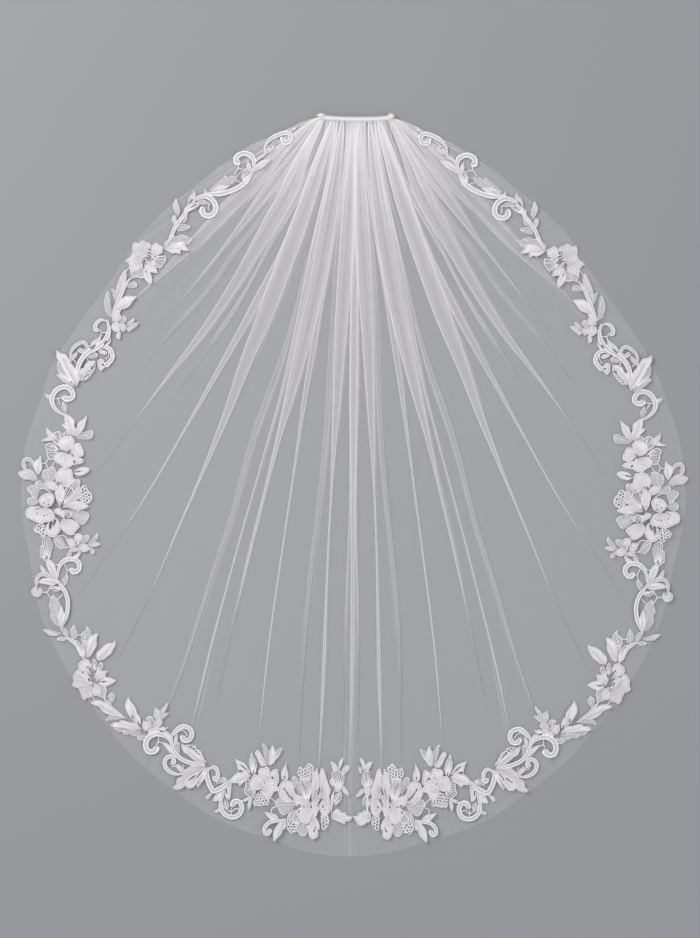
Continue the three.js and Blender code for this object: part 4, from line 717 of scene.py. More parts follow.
def noise(tree, vector, scale=1.0, detail=2.0, roughness=0.5):
    return add(tree, "ShaderNodeTexNoise", {"Vector": vector, "Scale": scale, "Detail": detail,
                                            "Roughness": roughness}).outputs["Fac"]


def wave(tree, turns):
    """From 0 to 1 and back, once a turn."""
    up = maths(tree, "SINE", maths(tree, "MULTIPLY", turns, math.tau), 0)
    return maths(tree, "ADD", maths(tree, "MULTIPLY", up, 0.5), 0.5)


def hexagon_net():
    """Threads of a six-sided net: 1 on the thread, 0 in the hole."""
    group, given, result = node_tree("Shader", "hexagon_net", {
        "Vector": ("Vector", None), "Cell": ("Float", 1.0), "Thread": ("Float", 0.2),
        "Softness": ("Float", 0.1)}, {"Threads": "Float"})
    size = (1.0, math.sqrt(3), 1.0)
    half = (0.5, math.sqrt(3) / 2, 0.5)
    cells = add(group, "ShaderNodeVectorMath",
                {0: given["Vector"], "Scale": maths(group, "DIVIDE", 1.0, given["Cell"])},
                operation="SCALE")
    flat = vector_maths(group, "MULTIPLY", cells.outputs[0], (1, 1, 0))

    def nearest(shifted):
        wrapped = add(group, "ShaderNodeVectorMath", {0: shifted, 1: size, 2: (0, 0, 0)},
                      operation="WRAP").outputs[0]
        return vector_maths(group, "MULTIPLY",
                            vector_maths(group, "SUBTRACT", wrapped, half), (1, 1, 0))

    one = nearest(flat)
    two = nearest(vector_maths(group, "SUBTRACT", flat, half))
    first = maths(group, "LESS_THAN", vector_maths(group, "LENGTH", one, out="Value"),
                  vector_maths(group, "LENGTH", two, out="Value"))
    pick = add(group, "ShaderNodeMix", {0: first, 4: two, 5: one}, data_type="VECTOR")
    middle = vector_maths(group, "ABSOLUTE", pick.outputs[1])
    slanted = vector_maths(group, "DOT_PRODUCT", middle, (0.5, math.sqrt(3) / 2, 0),
                           out="Value")
    straight = add(group, "ShaderNodeSeparateXYZ", {0: middle}).outputs["X"]
    rim = maths(group, "SUBTRACT", 0.5, maths(group, "MAXIMUM", slanted, straight))
    half_thread = maths(group, "MULTIPLY", given["Thread"], 0.5)
    far = maths(group, "ADD", half_thread, given["Softness"])
    feed(group, result, {"Threads": stepped(group, rim, half_thread, far, 1.0, 0.0)})
    return group


def laid_stitches():
    """Satin stitches laid side by side across a blade: height and light and dark bundles."""
    group, given, result = node_tree("Shader", "laid_stitches", {
        "Vector": ("Vector", None), "Pitch": ("Float", 0.0005), "Slant": ("Float", 0.8),
        "Bundle": ("Float", 0.0032)}, {"Height": "Float", "Shade": "Float"})
    parts = add(group, "ShaderNodeSeparateXYZ", {0: given["Vector"]}).outputs
    wander = noise(group, given["Vector"], 420.0)
    across = maths(group, "MULTIPLY", maths(group, "ABSOLUTE", parts["Y"], 0.0), given["Slant"])
    line = maths(group, "SUBTRACT", parts["X"], across)
    line = maths(group, "ADD", line, maths(group, "MULTIPLY", wander, 0.0007))
    joined = add(group, "ShaderNodeCombineXYZ",
                 {"X": maths(group, "DIVIDE", line, given["Bundle"]),
                  "Y": maths(group, "MULTIPLY", parts["Y"], 45.0)}).outputs[0]
    shade = stepped(group, noise(group, joined, 1.0, 3.0, 0.65), 0.3, 0.72)
    height = wave(group, maths(group, "DIVIDE", line, given["Pitch"]))
    feed(group, result, {"Height": height, "Shade": shade})
    return group


def twisted_thread():
    """The turns of a twisted cord, along its own length."""
    group, given, result = node_tree("Shader", "twisted_thread", {
        "Vector": ("Vector", None), "Turn": ("Float", 0.0016)}, {"Height": "Float"})
    parts = add(group, "ShaderNodeSeparateXYZ", {0: given["Vector"]}).outputs
    line = maths(group, "ADD", maths(group, "DIVIDE", parts["X"], given["Turn"]), parts["Y"])
    feed(group, result, {"Height": wave(group, line)})
    return group


NET_THREADS = hexagon_net()
STITCHES = laid_stitches()
TWIST = twisted_thread()


def finish_of(name, roughness=0.6, sheen=0.0):
    """A new material, its tree and its surface shader."""
    material = bpy.data.materials.new(name)
    material.use_nodes = True
    tree = material.node_tree
    surface = tree.nodes["Principled BSDF"]
    feed(tree, surface, {"Roughness": roughness, "Sheen Weight": sheen,
                         "Specular IOR Level": 0.3})
    return material, tree, surface


def blended(tree, share, dark, light):
    return add(tree, "ShaderNodeMix", {0: share, 6: (*dark, 1), 7: (*light, 1)},
               data_type="RGBA").outputs[2]


def raised(tree, height, distance, strength=1.0, over=None):
    made = add(tree, "ShaderNodeBump", {"Height": height, "Distance": distance,
                                        "Strength": strength})
    if over is not None:
        tree.links.new(over, made.inputs["Normal"])
    return made.outputs[0]


def mapped(tree, name="UVMap"):
    return add(tree, "ShaderNodeUVMap", uv_map=name).outputs[0]


def object_place(tree):
    return add(tree, "ShaderNodeTexCoord").outputs["Object"]


def attribute(tree, name):
    return add(tree, "ShaderNodeAttribute", attribute_name=name).outputs["Fac"]


def seen_not_shading(tree, alpha, kept=0.16):
    """Fine net lets most light past, so its shade on the floor is weaker than its own cover."""
    shadow = add(tree, "ShaderNodeLightPath").outputs["Is Shadow Ray"]
    weaker = maths(tree, "SUBTRACT", 1.0, maths(tree, "MULTIPLY", shadow, 1 - kept))
    return maths(tree, "MULTIPLY", alpha, weaker, clamp=True)


def tulle_finish():
    material, tree, surface = finish_of("soft_tulle", 0.75, 0.15)
    layers = attribute(tree, "layers")
    streak = noise(tree, mapped(tree, "Gathers"), 1.0, 3.0, 0.6)
    streak = stepped(tree, streak, 0.3, 0.7, 0.3, 1.9)
    near = attribute(tree, "gathered")
    lines = maths(tree, "ADD", maths(tree, "MULTIPLY", near, streak),
                  maths(tree, "SUBTRACT", 1.0, near))
    layers = maths(tree, "MULTIPLY", layers, lines)
    open_share = maths(tree, "POWER", 1 - NET_COVER, layers)
    cover = maths(tree, "SUBTRACT", 1.0, open_share)
    thread = maths(tree, "SUBTRACT", 1.0, maths(tree, "POWER", open_share, 0.5))
    net = use(tree, NET_THREADS, {"Vector": mapped(tree), "Cell": NET_CELL, "Thread": thread,
                                  "Softness": 0.06})["Threads"]
    film = maths(tree, "MULTIPLY", cover, 0.32)
    drawn = maths(tree, "MULTIPLY", net, maths(tree, "ADD", 0.43,
                                                maths(tree, "MULTIPLY", cover, 0.14)))
    alpha = maths(tree, "ADD", film, drawn, clamp=True)
    feed(tree, surface, {
        "Alpha": seen_not_shading(tree, alpha),
        "Base Color": blended(tree, cover, (0.74, 0.71, 0.725), (0.88, 0.85, 0.865)),
        "Normal": raised(tree, net, 0.0001, 0.4)})
    return material


def satin_finish(name, dark, light, cover=1.0, groove=None, pitch=0.0005):
    """Satin stitches, their colour running from dark to light. With a groove, they run out from the
    petal's foot in bundles, with painted shade in the grooves between the bundles. Their colour is also
    multiplied by the depth attribute, painted shade in grooves and towards a petal's foot; thin satin
    lets more through where it is painted darker.
    """
    material, tree, surface = finish_of(name, 0.48, 0.25)
    made = use(tree, STITCHES, {"Vector": mapped(tree), "Pitch": pitch})
    shade, height = made["Shade"], made["Height"]
    shade = maths(tree, "ADD", 0.78, maths(tree, "MULTIPLY", shade, 0.22))
    if groove:
        across = add(tree, "ShaderNodeSeparateXYZ", {0: mapped(tree, "Fan")}).outputs["X"]
        bundle = wave(tree, across)
        # painted shade in the grooves between the bundles, as deep as groove says
        bundle_groove_shade = stepped(tree, bundle, 0.0, 0.35, groove, 1.0)
        shade = maths(tree, "MULTIPLY", shade, bundle_groove_shade)
        height = maths(tree, "ADD", maths(tree, "MULTIPLY", bundle, 1.6), height)
    # painted shade from the depth attribute
    shade = maths(tree, "MULTIPLY", shade, attribute(tree, "depth"))
    feed(tree, surface, {"Base Color": blended(tree, shade, dark, light),
                         "Normal": raised(tree, height, 0.00018, 0.8)})
    if cover < 1:
        thin = maths(tree, "ADD", cover, maths(tree, "MULTIPLY", shade, 1 - cover), clamp=True)
        feed(tree, surface, {"Alpha": thin})
    return material


def netted_finish(name, cell, thread, film, threads_fanned=0.0):
    """Net or open work inside a petal, with or without threads that fan out from its foot."""
    material, tree, surface = finish_of(name, 0.6, 0.15)
    net = use(tree, NET_THREADS, {"Vector": mapped(tree), "Cell": cell, "Thread": thread,
                                  "Softness": 0.05})["Threads"]
    if threads_fanned:
        across = add(tree, "ShaderNodeSeparateXYZ", {0: mapped(tree, "Fan")}).outputs["X"]
        lines = maths(tree, "SINE", maths(tree, "MULTIPLY", across, 2 * math.tau), 0)
        lines = stepped(tree, lines, 1 - 2 * threads_fanned, 1 - threads_fanned)
        net = maths(tree, "MAXIMUM", net, lines)
    alpha = maths(tree, "ADD", maths(tree, "MULTIPLY", net, 0.96 - film), film, clamp=True)
    feed(tree, surface, {
        "Alpha": seen_not_shading(tree, alpha, 0.7),
        "Base Color": blended(tree, net, (0.82, 0.785, 0.80), (0.95, 0.92, 0.935)),
        "Normal": raised(tree, net, 0.0003, 0.8)})
    return material


def cord_finish(name, light, dark, turn=0.0016):
    material, tree, surface = finish_of(name, 0.5, 0.2)
    twist = use(tree, TWIST, {"Vector": mapped(tree), "Turn": turn})["Height"]
    uneven = noise(tree, object_place(tree), 260.0)
    # Colour: painted shade in the hollows between the twist's turns, plus random uneven tone
    share = maths(tree, "MULTIPLY", maths(tree, "ADD", twist, uneven), 0.6, clamp=True)
    feed(tree, surface, {"Base Color": blended(tree, share, dark, light),
                         "Normal": raised(tree, twist, 0.00022, 0.8)})
    return material


def bead_finish():
    material, tree, surface = finish_of("seed_bead", 0.12)
    cloud = noise(tree, object_place(tree), 700.0)
    feed(tree, surface, {
        "Coat Weight": 0.6, "Coat Roughness": 0.08,
        "Base Color": blended(tree, cloud, (0.86, 0.84, 0.85), (0.97, 0.96, 0.965))})
    return material


def comb_finish():
    material, tree, surface = finish_of("clear_comb_plastic", 0.12)
    flow = noise(tree, object_place(tree), 90.0, 4.0)
    feed(tree, surface, {
        "Transmission Weight": 0.85, "IOR": 1.49,
        "Roughness": stepped(tree, flow, 0.2, 0.8, 0.06, 0.2),
        "Base Color": blended(tree, flow, (0.9, 0.89, 0.885), (0.96, 0.955, 0.95)),
        "Normal": raised(tree, flow, 0.0001, 0.3)})
    return material


def floor_finish():
    material, tree, surface = finish_of("pale_floor", 0.9)
    cloud = noise(tree, object_place(tree), 1.3, 3.0)
    feed(tree, surface,
         {"Base Color": blended(tree, cloud, (0.272, 0.275, 0.284), (0.280, 0.283, 0.292))})
    return material


TULLE = tulle_finish()
# Satin finishes blend from a dark colour to a light one: painted shade pulls them towards the dark one,
# and the random tone of the stitch bundles varies them a little.
LEAF_SATIN = satin_finish("leaf_satin", (0.36, 0.335, 0.35), (0.955, 0.92, 0.935), groove=0.7)
PETAL_SATIN = satin_finish("petal_satin", (0.34, 0.315, 0.33), (0.91, 0.873, 0.89), groove=0.5)
DULL_SATIN = satin_finish("thin_satin", (0.36, 0.335, 0.35), (0.90, 0.86, 0.88), 0.55, 0.66)
RIM_SATIN = satin_finish("rim_satin", (0.42, 0.40, 0.41), (0.985, 0.965, 0.975), pitch=0.0007)
DULL_RIM = satin_finish("thin_rim_satin", (0.40, 0.375, 0.39), (0.93, 0.89, 0.91), 0.8)
BAND_CORE = satin_finish("scroll_core", (0.32, 0.30, 0.31), (0.83, 0.79, 0.81))
FINE_NET = netted_finish("petal_fine_net", 0.0019, 0.14, 0.03, 0.16)
RIBBED_NET = netted_finish("petal_ribbed_net", 0.0019, 0.06, 0.03)
COARSE_NET = netted_finish("petal_coarse_net", 0.0046, 0.17, 0.0)
CORD = cord_finish("lace_cord", (0.93, 0.905, 0.915), (0.74, 0.71, 0.725))
BEAD = bead_finish()
HEADER_THREAD = cord_finish("header_thread", (0.95, 0.90, 0.865), (0.74, 0.69, 0.655), 0.0011)
LACE_FINISHES = [LEAF_SATIN, PETAL_SATIN, DULL_SATIN, RIM_SATIN, DULL_RIM, BAND_CORE, FINE_NET,
                 RIBBED_NET, COARSE_NET, CORD, BEAD]
(LEAF_AT, PETAL_AT, DULL_AT, RIM_AT, DULL_RIM_AT, BAND_AT, FINE_AT, RIBBED_AT, COARSE_AT,
 *_) = range(len(LACE_FINISHES))


# The net

def hem_line():
    """The whole cut edge from the comb's left end round to its right end, on the axis, with
    how far each point is along it."""
    left = flowing_line([(-w, d) for d, w in NET_EDGE[:-1]] + [(0, NET_EDGE[-1][0])]
                        + [(w, d) for d, w in NET_EDGE[-2::-1]], 8)
    waver = np.random.default_rng(5).normal(size=(len(left), 2))
    for _ in range(12):
        waver[1:-1] = (waver[:-2] + waver[1:-1] + waver[2:]) / 3
    waver[:12] = waver[-12:] = 0
    line = left + waver * 1.6
    return line, travelled(line)


HEM, HEM_GONE = hem_line()


def hem_place(x, y):
    """How far along the hem its nearest point to (x, y) is."""
    return HEM_GONE[np.argmin(np.hypot(HEM[:, 0] - x, HEM[:, 1] - y))]


def hem_point(gone):
    return np.array([np.interp(gone, HEM_GONE, HEM[:, 0]), np.interp(gone, HEM_GONE, HEM[:, 1])])


ROWS = np.linspace(0, 1, ROW_COUNT) ** 1.3


def fold_line(row, side):
    """One fold on the axis: its middle line and half width at each row, its cover and the place
    where it meets the hem. Half width is measured level across."""
    comb, cover, leaving, edges = row
    table = []
    for y, left, right in edges:
        a, b = on_axis(left, y), on_axis(right, y)
        table.append(((a[0] + b[0]) / 2, (a[1] + b[1]) / 2, (b[0] - a[0]) / 2))
    hem_at = hem_place(*on_axis(*leaving))
    end = hem_point(hem_at)
    first = table[0]
    line = [(comb, 1.0, min(0.8, first[2])), *table]
    last = np.array(table[-1])
    go = np.array([*(end - last[:2]), 0])
    away = np.hypot(*go[:2])
    line.append(tuple(last + go * min(0.5, 14 / max(away, 1)) - (0, 0, last[2])))
    if away > 20:
        line.append(tuple(last + go * 0.6 - (0, 0, last[2])))
    line.append((*end, 0.0))
    line = np.array(line)
    gone = travelled(line)
    at = ROWS * gone[-1]
    middle = np.stack([np.interp(at, gone, line[:, 0]), np.interp(at, gone, line[:, 1])], 1)
    half = np.interp(at, gone, line[:, 2])
    for _ in range(8):
        for values in (middle, half):
            values[1:-1] = (values[:-2] + 2 * values[1:-1] + values[2:]) / 4
    tip = gone[len(table)]
    fade = 1 - smooth((at - tip * 0.86) / (tip * 0.14 + 6))
    if side > 0:
        middle[:, 0] *= -1
        hem_at = HEM_GONE[-1] - hem_at
    return {"middle": middle, "half": half, "cover": cover * fade, "hem": hem_at,
            "folded": True}


def guide_line(hem_at, comb):
    """A line of the net that carries no fold."""
    end = hem_point(hem_at)
    line = np.array([(comb, 1.0), tuple(end)])
    return {"middle": along(line, ROWS), "half": np.zeros(ROW_COUNT),
            "cover": np.zeros(ROW_COUNT), "hem": hem_at, "folded": False}


def end_line(side):
    """The net's own edge, from the last gather straight to the end of the hem."""
    gone = HEM_GONE[-1] if side > 0 else 0.0
    share = ROWS[:, None]
    middle = np.array([COMB_END * side, 1.0]) * (1 - share) + hem_point(gone) * share
    return {"middle": middle, "half": 0 * ROWS, "hem": gone}


def between(one, two, share):
    """The line that lies between two others."""
    hem_at = one["hem"] * (1 - share) + two["hem"] * share
    middle = one["middle"] * (1 - share) + two["middle"] * share
    pull = hem_point(hem_at) - middle[-1]
    return middle + pull * (ROWS ** 4)[:, None], hem_at


def small_gather(one, two, share, chance):
    """A short fold near the comb between two long ones."""
    middle, hem_at = between(one, two, share)
    below = middle[:, 1]
    tip = chance.uniform(50, 190)
    wide = chance.uniform(0.5, 1.5)
    half = wide * smooth(below / 30) * np.clip(1 - below / tip, 0, 1) ** 0.7
    return {"middle": middle, "half": half, "cover": 0.75 * (1 - smooth((below - tip * 0.6)
                                                                        / (tip * 0.5))),
            "hem": hem_at, "folded": True}


def net_lines():
    """Every line of the net from the left shoulder to the right one."""
    lines = []
    left = [guide_line(hem_place(-w, d), -37.8) for d, w in SHOULDER_LINES]
    right = [guide_line(HEM_GONE[-1] - guide["hem"], 37.8) for guide in left]
    lines += left
    lines += [fold_line(row, -1) for row in FOLDS.values()]
    lines.append(fold_line(MIDDLE_FOLD, -1))
    lines += [fold_line(row, 1) for row in list(FOLDS.values())[::-1]]
    lines += right[::-1]
    chance = random.Random(11)
    filled = []
    for one, two in zip(lines, lines[1:]):
        filled.append(one)
        count = 2 if two["hem"] - one["hem"] < 90 else 3
        for k in range(count):
            share = (k + chance.uniform(0.35, 0.65)) / count
            filled.append(small_gather(one, two, share, chance))
    filled.append(lines[-1])
    return filled


# A pressed fold from one side to the other: place across in half widths, layer, 1 for the extra
# layers, closeness to the crease. A place of 0.9 is where the crease begins.
FOLD_PATH = [(-1.05, 0.0, 0, 0), (0.0, 0.02, 0, 0), (0.9, 0.1, 0, 0.08), (1.0, 0.5, 1, 1.0),
             (0.9, 0.95, 1, 0.08), (0.0, 1.0, 1, 0), (-0.9, 1.05, 1, 0.08),
             (-1.0, 1.5, 1, 1.0), (-0.9, 1.95, 1, 0.08), (0.0, 2.0, 1, 0),
             (0.95, 1.9, 1, 0.1), (1.12, 0.8, 0, 0), (1.3, 0.0, 0, 0)]
EXTRA_COVER = 1.05  # the layers inside a fold lie slack, so they cover a little more
CREASE_COVER = 5.0  # net seen on edge at a crease
CREASE_WIDE = 0.95  # pixels


def rest_height(across, below):
    """Height of the net where nothing folds it: up over the comb, then down to the floor."""
    away = np.hypot(np.maximum(np.abs(across) - 36, 0), np.maximum(below - 28, 0))
    return NET_REST + COMB_LIFT * (1 - smooth(away / 40))


def ripple(across, below):
    """Slow rise and fall of net that isn't pressed flat."""
    angle = np.arctan2(across, below + 40)
    far = smooth(below / 160)
    return (np.sin(angle * 31 + below * 0.006) + 0.7 * np.sin(angle * 57 + 1.3 - below * 0.009)
            + 0.5 * np.sin(angle * 93 + 0.4)) * 0.00022 * (0.35 + far) + 0.0003


def tulle_sheet():
    lines = net_lines()
    columns, heights, covers, turns = [], [], [], []
    place_on_fabric = []

    def column(across, below, rise, cover, turn, hem_at):
        columns.append(np.stack([across, below], 1))
        heights.append(rest_height(across, below) + ripple(across, below) + rise)
        covers.append(cover)
        turns.append(turn)
        place_on_fabric.append(hem_at)

    plain = np.ones(ROW_COUNT)
    before = end_line(-1)
    column(*before["middle"].T, 0 * ROWS, plain, 0, 0.0)
    for line in lines:
        gap = 2 if line["hem"] - before["hem"] < 40 else 4
        for k in range(1, gap):
            p, hem_at = between(before, line, k / gap)
            shift = before["half"] * (1 - k / gap) * 1.3 - line["half"] * k / gap
            column(p[:, 0] + shift, p[:, 1], 0 * ROWS, plain, 0, hem_at)
        if not line["folded"]:
            column(*line["middle"].T, 0 * ROWS, plain, 0, line["hem"])
        else:
            half, p = line["half"], line["middle"]
            wide = np.clip(half / 5, 0, 1)
            step = FOLD_RISE * (0.25 + 0.75 * wide) * np.clip(half / 0.6, 0, 1)
            crease = np.minimum(0.5, CREASE_WIDE / np.maximum(half, 0.3))
            for k, (across, layer, extra, bright) in enumerate(FOLD_PATH):
                drift = k / (len(FOLD_PATH) - 1) - 0.5
                spread = 0.5 + 3.0 * ROWS
                reach = np.sign(across) * (1 - crease) if abs(across) == 0.9 else across
                x = p[:, 0] + reach * half + drift * spread * (1 - smooth(ROWS * 6 - 5))
                hem_at = line["hem"] + drift * 3.5
                last = hem_point(hem_at)
                pull = ROWS ** 8
                x = x * (1 - pull) + last[0] * pull
                y = p[:, 1] * (1 - pull) + last[1] * pull
                cover = (1 - extra) + extra * line["cover"] * EXTRA_COVER
                cover = cover + bright * CREASE_COVER * line["cover"] * np.clip(half, 0, 1)
                cover = np.where(half < 0.05, np.where(extra > 0, 1.0, cover), cover)
                column(x, y, layer * step, cover, extra * (1 + (layer > 1.2)), hem_at)
        before = line
    for k in (1, 2):
        p, hem_at = between(before, end_line(1), k / 2)
        column(*p.T, 0 * ROWS, plain, 0, hem_at)

    grid = np.array(columns)
    rise = np.array(heights)
    cover = np.array(covers)
    count = len(grid)
    x, y = to_plane(grid[:, :, 0], grid[:, :, 1])
    points = np.stack([x, y, rise], -1).reshape(-1, 3)
    faces = []
    for i in range(count - 1):
        for j in range(ROW_COUNT - 1):
            a = i * ROW_COUNT + j
            faces.append((a, a + 1, a + ROW_COUNT + 1, a + ROW_COUNT))
    piece = new_mesh("tulle", points, faces)
    mesh = piece.data
    mesh.shade_flat()  # a smooth normal would turn over at each crease
    below = grid[:, :, 1]
    out = np.abs(grid[:, :, 0])
    packed = 1 + 2.2 * np.exp(-np.hypot(below, np.maximum(out - COMB_END, 0) * 0.8) / 48)
    drawn_up = 6.0 * np.exp(-np.maximum(below, 0) / 8) * (out < 60)
    write_value(mesh, "layers", np.maximum(cover * packed, drawn_up))
    write_value(mesh, "gathered", np.exp(-below / 110) * smooth(below / 4))
    corners = np.array(faces).ravel()
    turned = np.repeat(np.array(turns)[:-1], (ROW_COUNT - 1) * 4)
    angle = turned * 0.55
    px, py = points[corners, 0] + turned * 0.0137, points[corners, 1]
    write_uv(mesh, np.stack([px * np.cos(angle) - py * np.sin(angle),
                             px * np.sin(angle) + py * np.cos(angle)], 1))
    lengthwise = np.array(place_on_fabric) / HEM_GONE[-1]
    fan_u = np.repeat(lengthwise, ROW_COUNT)
    fan_v = np.tile(ROWS, count)
    write_uv(mesh, np.stack([fan_u[corners] * 150, fan_v[corners] * 1.6], 1), "Gathers")
    mesh.materials.append(TULLE)
    return piece, points


class Ground:
    """The height field under the lace: the net's highest point around each place, smoothed."""

    def __init__(self, points):
        self.step = 0.0022
        self.low = points[:, :2].min(0) - 0.02
        size = np.ceil((points[:, :2].max(0) + 0.02 - self.low) / self.step).astype(int) + 1
        top = np.full(size, -1.0)
        at = ((points[:, :2] - self.low) / self.step).astype(int)
        np.maximum.at(top, (at[:, 0], at[:, 1]), points[:, 2])
        for _ in range(60):
            empty = top < 0
            if not empty.any():
                break
            grown = np.full_like(top, -1)
            for axis in (0, 1):
                for way in (1, -1):
                    grown = np.maximum(grown, np.roll(top, way, axis))
            top = np.where(empty, grown, top)
        for _ in range(5):
            wide = top.copy()
            for axis in (0, 1):
                wide = (np.roll(wide, 1, axis) + wide + np.roll(wide, -1, axis)) / 3
            top = np.maximum(wide, 0) * 0.7 + top * 0.3
        self.top = top

    def at(self, xy):
        p = (np.asarray(xy) - self.low) / self.step
        i = np.clip(p.astype(int), 0, np.array(self.top.shape) - 2)
        f = p - i
        t = self.top
        a, b = i[..., 0], i[..., 1]
        u, v = f[..., 0], f[..., 1]
        return (t[a, b] * (1 - u) * (1 - v) + t[a + 1, b] * u * (1 - v)
                + t[a, b + 1] * (1 - u) * v + t[a + 1, b + 1] * u * v)


LACE_LIFT = 0.0004  # the lace lies this high over the net
BAR_LIFT = 0.0006  # and the bars of thread this high
THREAD_LIFT = 0.0003  # and the threads inside a petal this high over the petal
RIM_RISE, SOLID_RIM_RISE = 0.00055, 0.0007  # height of the satin rim round net and round satin
RIBS_RADIUS = 0.0005
SLIT_MARGIN, SLIT_ROWS = 0.003, 0.001  # finer rows of faces round a slit: how far, how close

# Fillings of leaves and petals: width of the satin rim, padding, finish, distance of the threads
# that run out from the foot
FILLINGS = {
    "satin": (0.0017, 0.00034, LEAF_AT, None),
    "grey": (0.0012, 0.0002, DULL_AT, None),
    "net": (0.0014, 0.00006, FINE_AT, None),
    "ribs": (0.0014, 0.00006, RIBBED_AT, 0.0042),
    "coarse": (0.0014, 0.00006, COARSE_AT, 0.007),
}

# Half width of a narrow leaf along its spine
BLADE = ([0, 0.1, 0.25, 0.42, 0.6, 0.78, 0.92, 1], [0.16, 0.45, 0.84, 1, 0.9, 0.58, 0.22, 0.0])


class Lacework:
    """One motif of the border: flat work and padded stitches as faces, cords as edges and
    beads as loose points. Heights are over the net."""

    def __init__(self, ground):
        self.ground = ground
        self.points, self.faces, self.finish = [], [], []
        self.uv, self.spread, self.depth = [], [], []
        self.edges, self.radius, self.beads = [], [], []
        self.holes = []
        self.level = 0

    def sheet(self, grid, heights, uv, spread, finish, depth=1.0):
        """Faces over a grid of places in metres. finish is a place in LACE_FINISHES, for all faces or
        for each column of them. depth is a value for all points, for each row or for each point, from 0
        in a groove to 1 on raised thread: painted shade that the satin finishes multiply into their
        colour."""
        rows, columns = grid.shape[:2]
        start = len(self.points)
        over = self.ground.at(grid) + heights
        flat = grid.reshape(-1, 2)
        self.points += [(p[0], p[1], z) for p, z in zip(flat, over.ravel())]
        self.radius += [0.0] * len(flat)
        self.depth += np.broadcast_to(depth, (rows, columns)).ravel().tolist()
        i, j = np.meshgrid(np.arange(rows - 1), np.arange(columns - 1), indexing="ij")
        a = (i * columns + j).ravel()
        rings = np.stack([a, a + columns, a + columns + 1, a + 1], -1)
        p = flat[rings]
        area = ((p[:, 2, 0] - p[:, 0, 0]) * (p[:, 3, 1] - p[:, 1, 1])
                - (p[:, 3, 0] - p[:, 1, 0]) * (p[:, 2, 1] - p[:, 0, 1]))
        rings[area < 0] = rings[area < 0][:, ::-1]
        kept = np.abs(area) > 1e-10
        middle = p.mean(1)
        for one, two, wide in self.holes:
            kept &= beside(middle, one, two) > wide
        finish = np.broadcast_to(finish, (rows - 1, columns - 1)).ravel()
        self.faces += [tuple(ring) for ring in (rings[kept] + start).tolist()]
        self.finish += finish[kept].tolist()
        order = rings[kept].ravel()
        self.uv.append(uv.reshape(-1, 2)[order])
        self.spread.append(spread.reshape(-1, 2)[order])

    def cord(self, line, radius, height):
        """A thread or cord along a line in metres."""
        start = len(self.points)
        over = self.ground.at(line) + height
        self.points += [(p[0], p[1], z) for p, z in zip(line, over)]
        self.radius += [radius] * len(line)
        self.depth += [1.0] * len(line)
        self.edges += [(start + k, start + k + 1) for k in range(len(line) - 1)]

    def bead(self, place, size):
        place = np.array(place)
        self.beads.append(len(self.points))
        self.points.append((*place, float(self.ground.at(place)) + 0.002))
        self.radius.append(size)
        self.depth.append(1.0)


def beside(places, one, two):
    """Distance of places from the straight line between two points."""
    run = two - one
    share = np.clip((places - one) @ run / max(run @ run, 1e-12), 0, 1)
    return np.hypot(*(places - one - share[:, None] * run).T)


def in_metres(points, side):
    made = np.array([to_plane(*on_axis(x, y)) for x, y in points])
    made[:, 0] *= side
    return made


def pairs(values):
    return list(zip(values[::2], values[1::2]))


def together(*values):
    return np.stack(np.broadcast_arrays(*values), -1).astype(float)


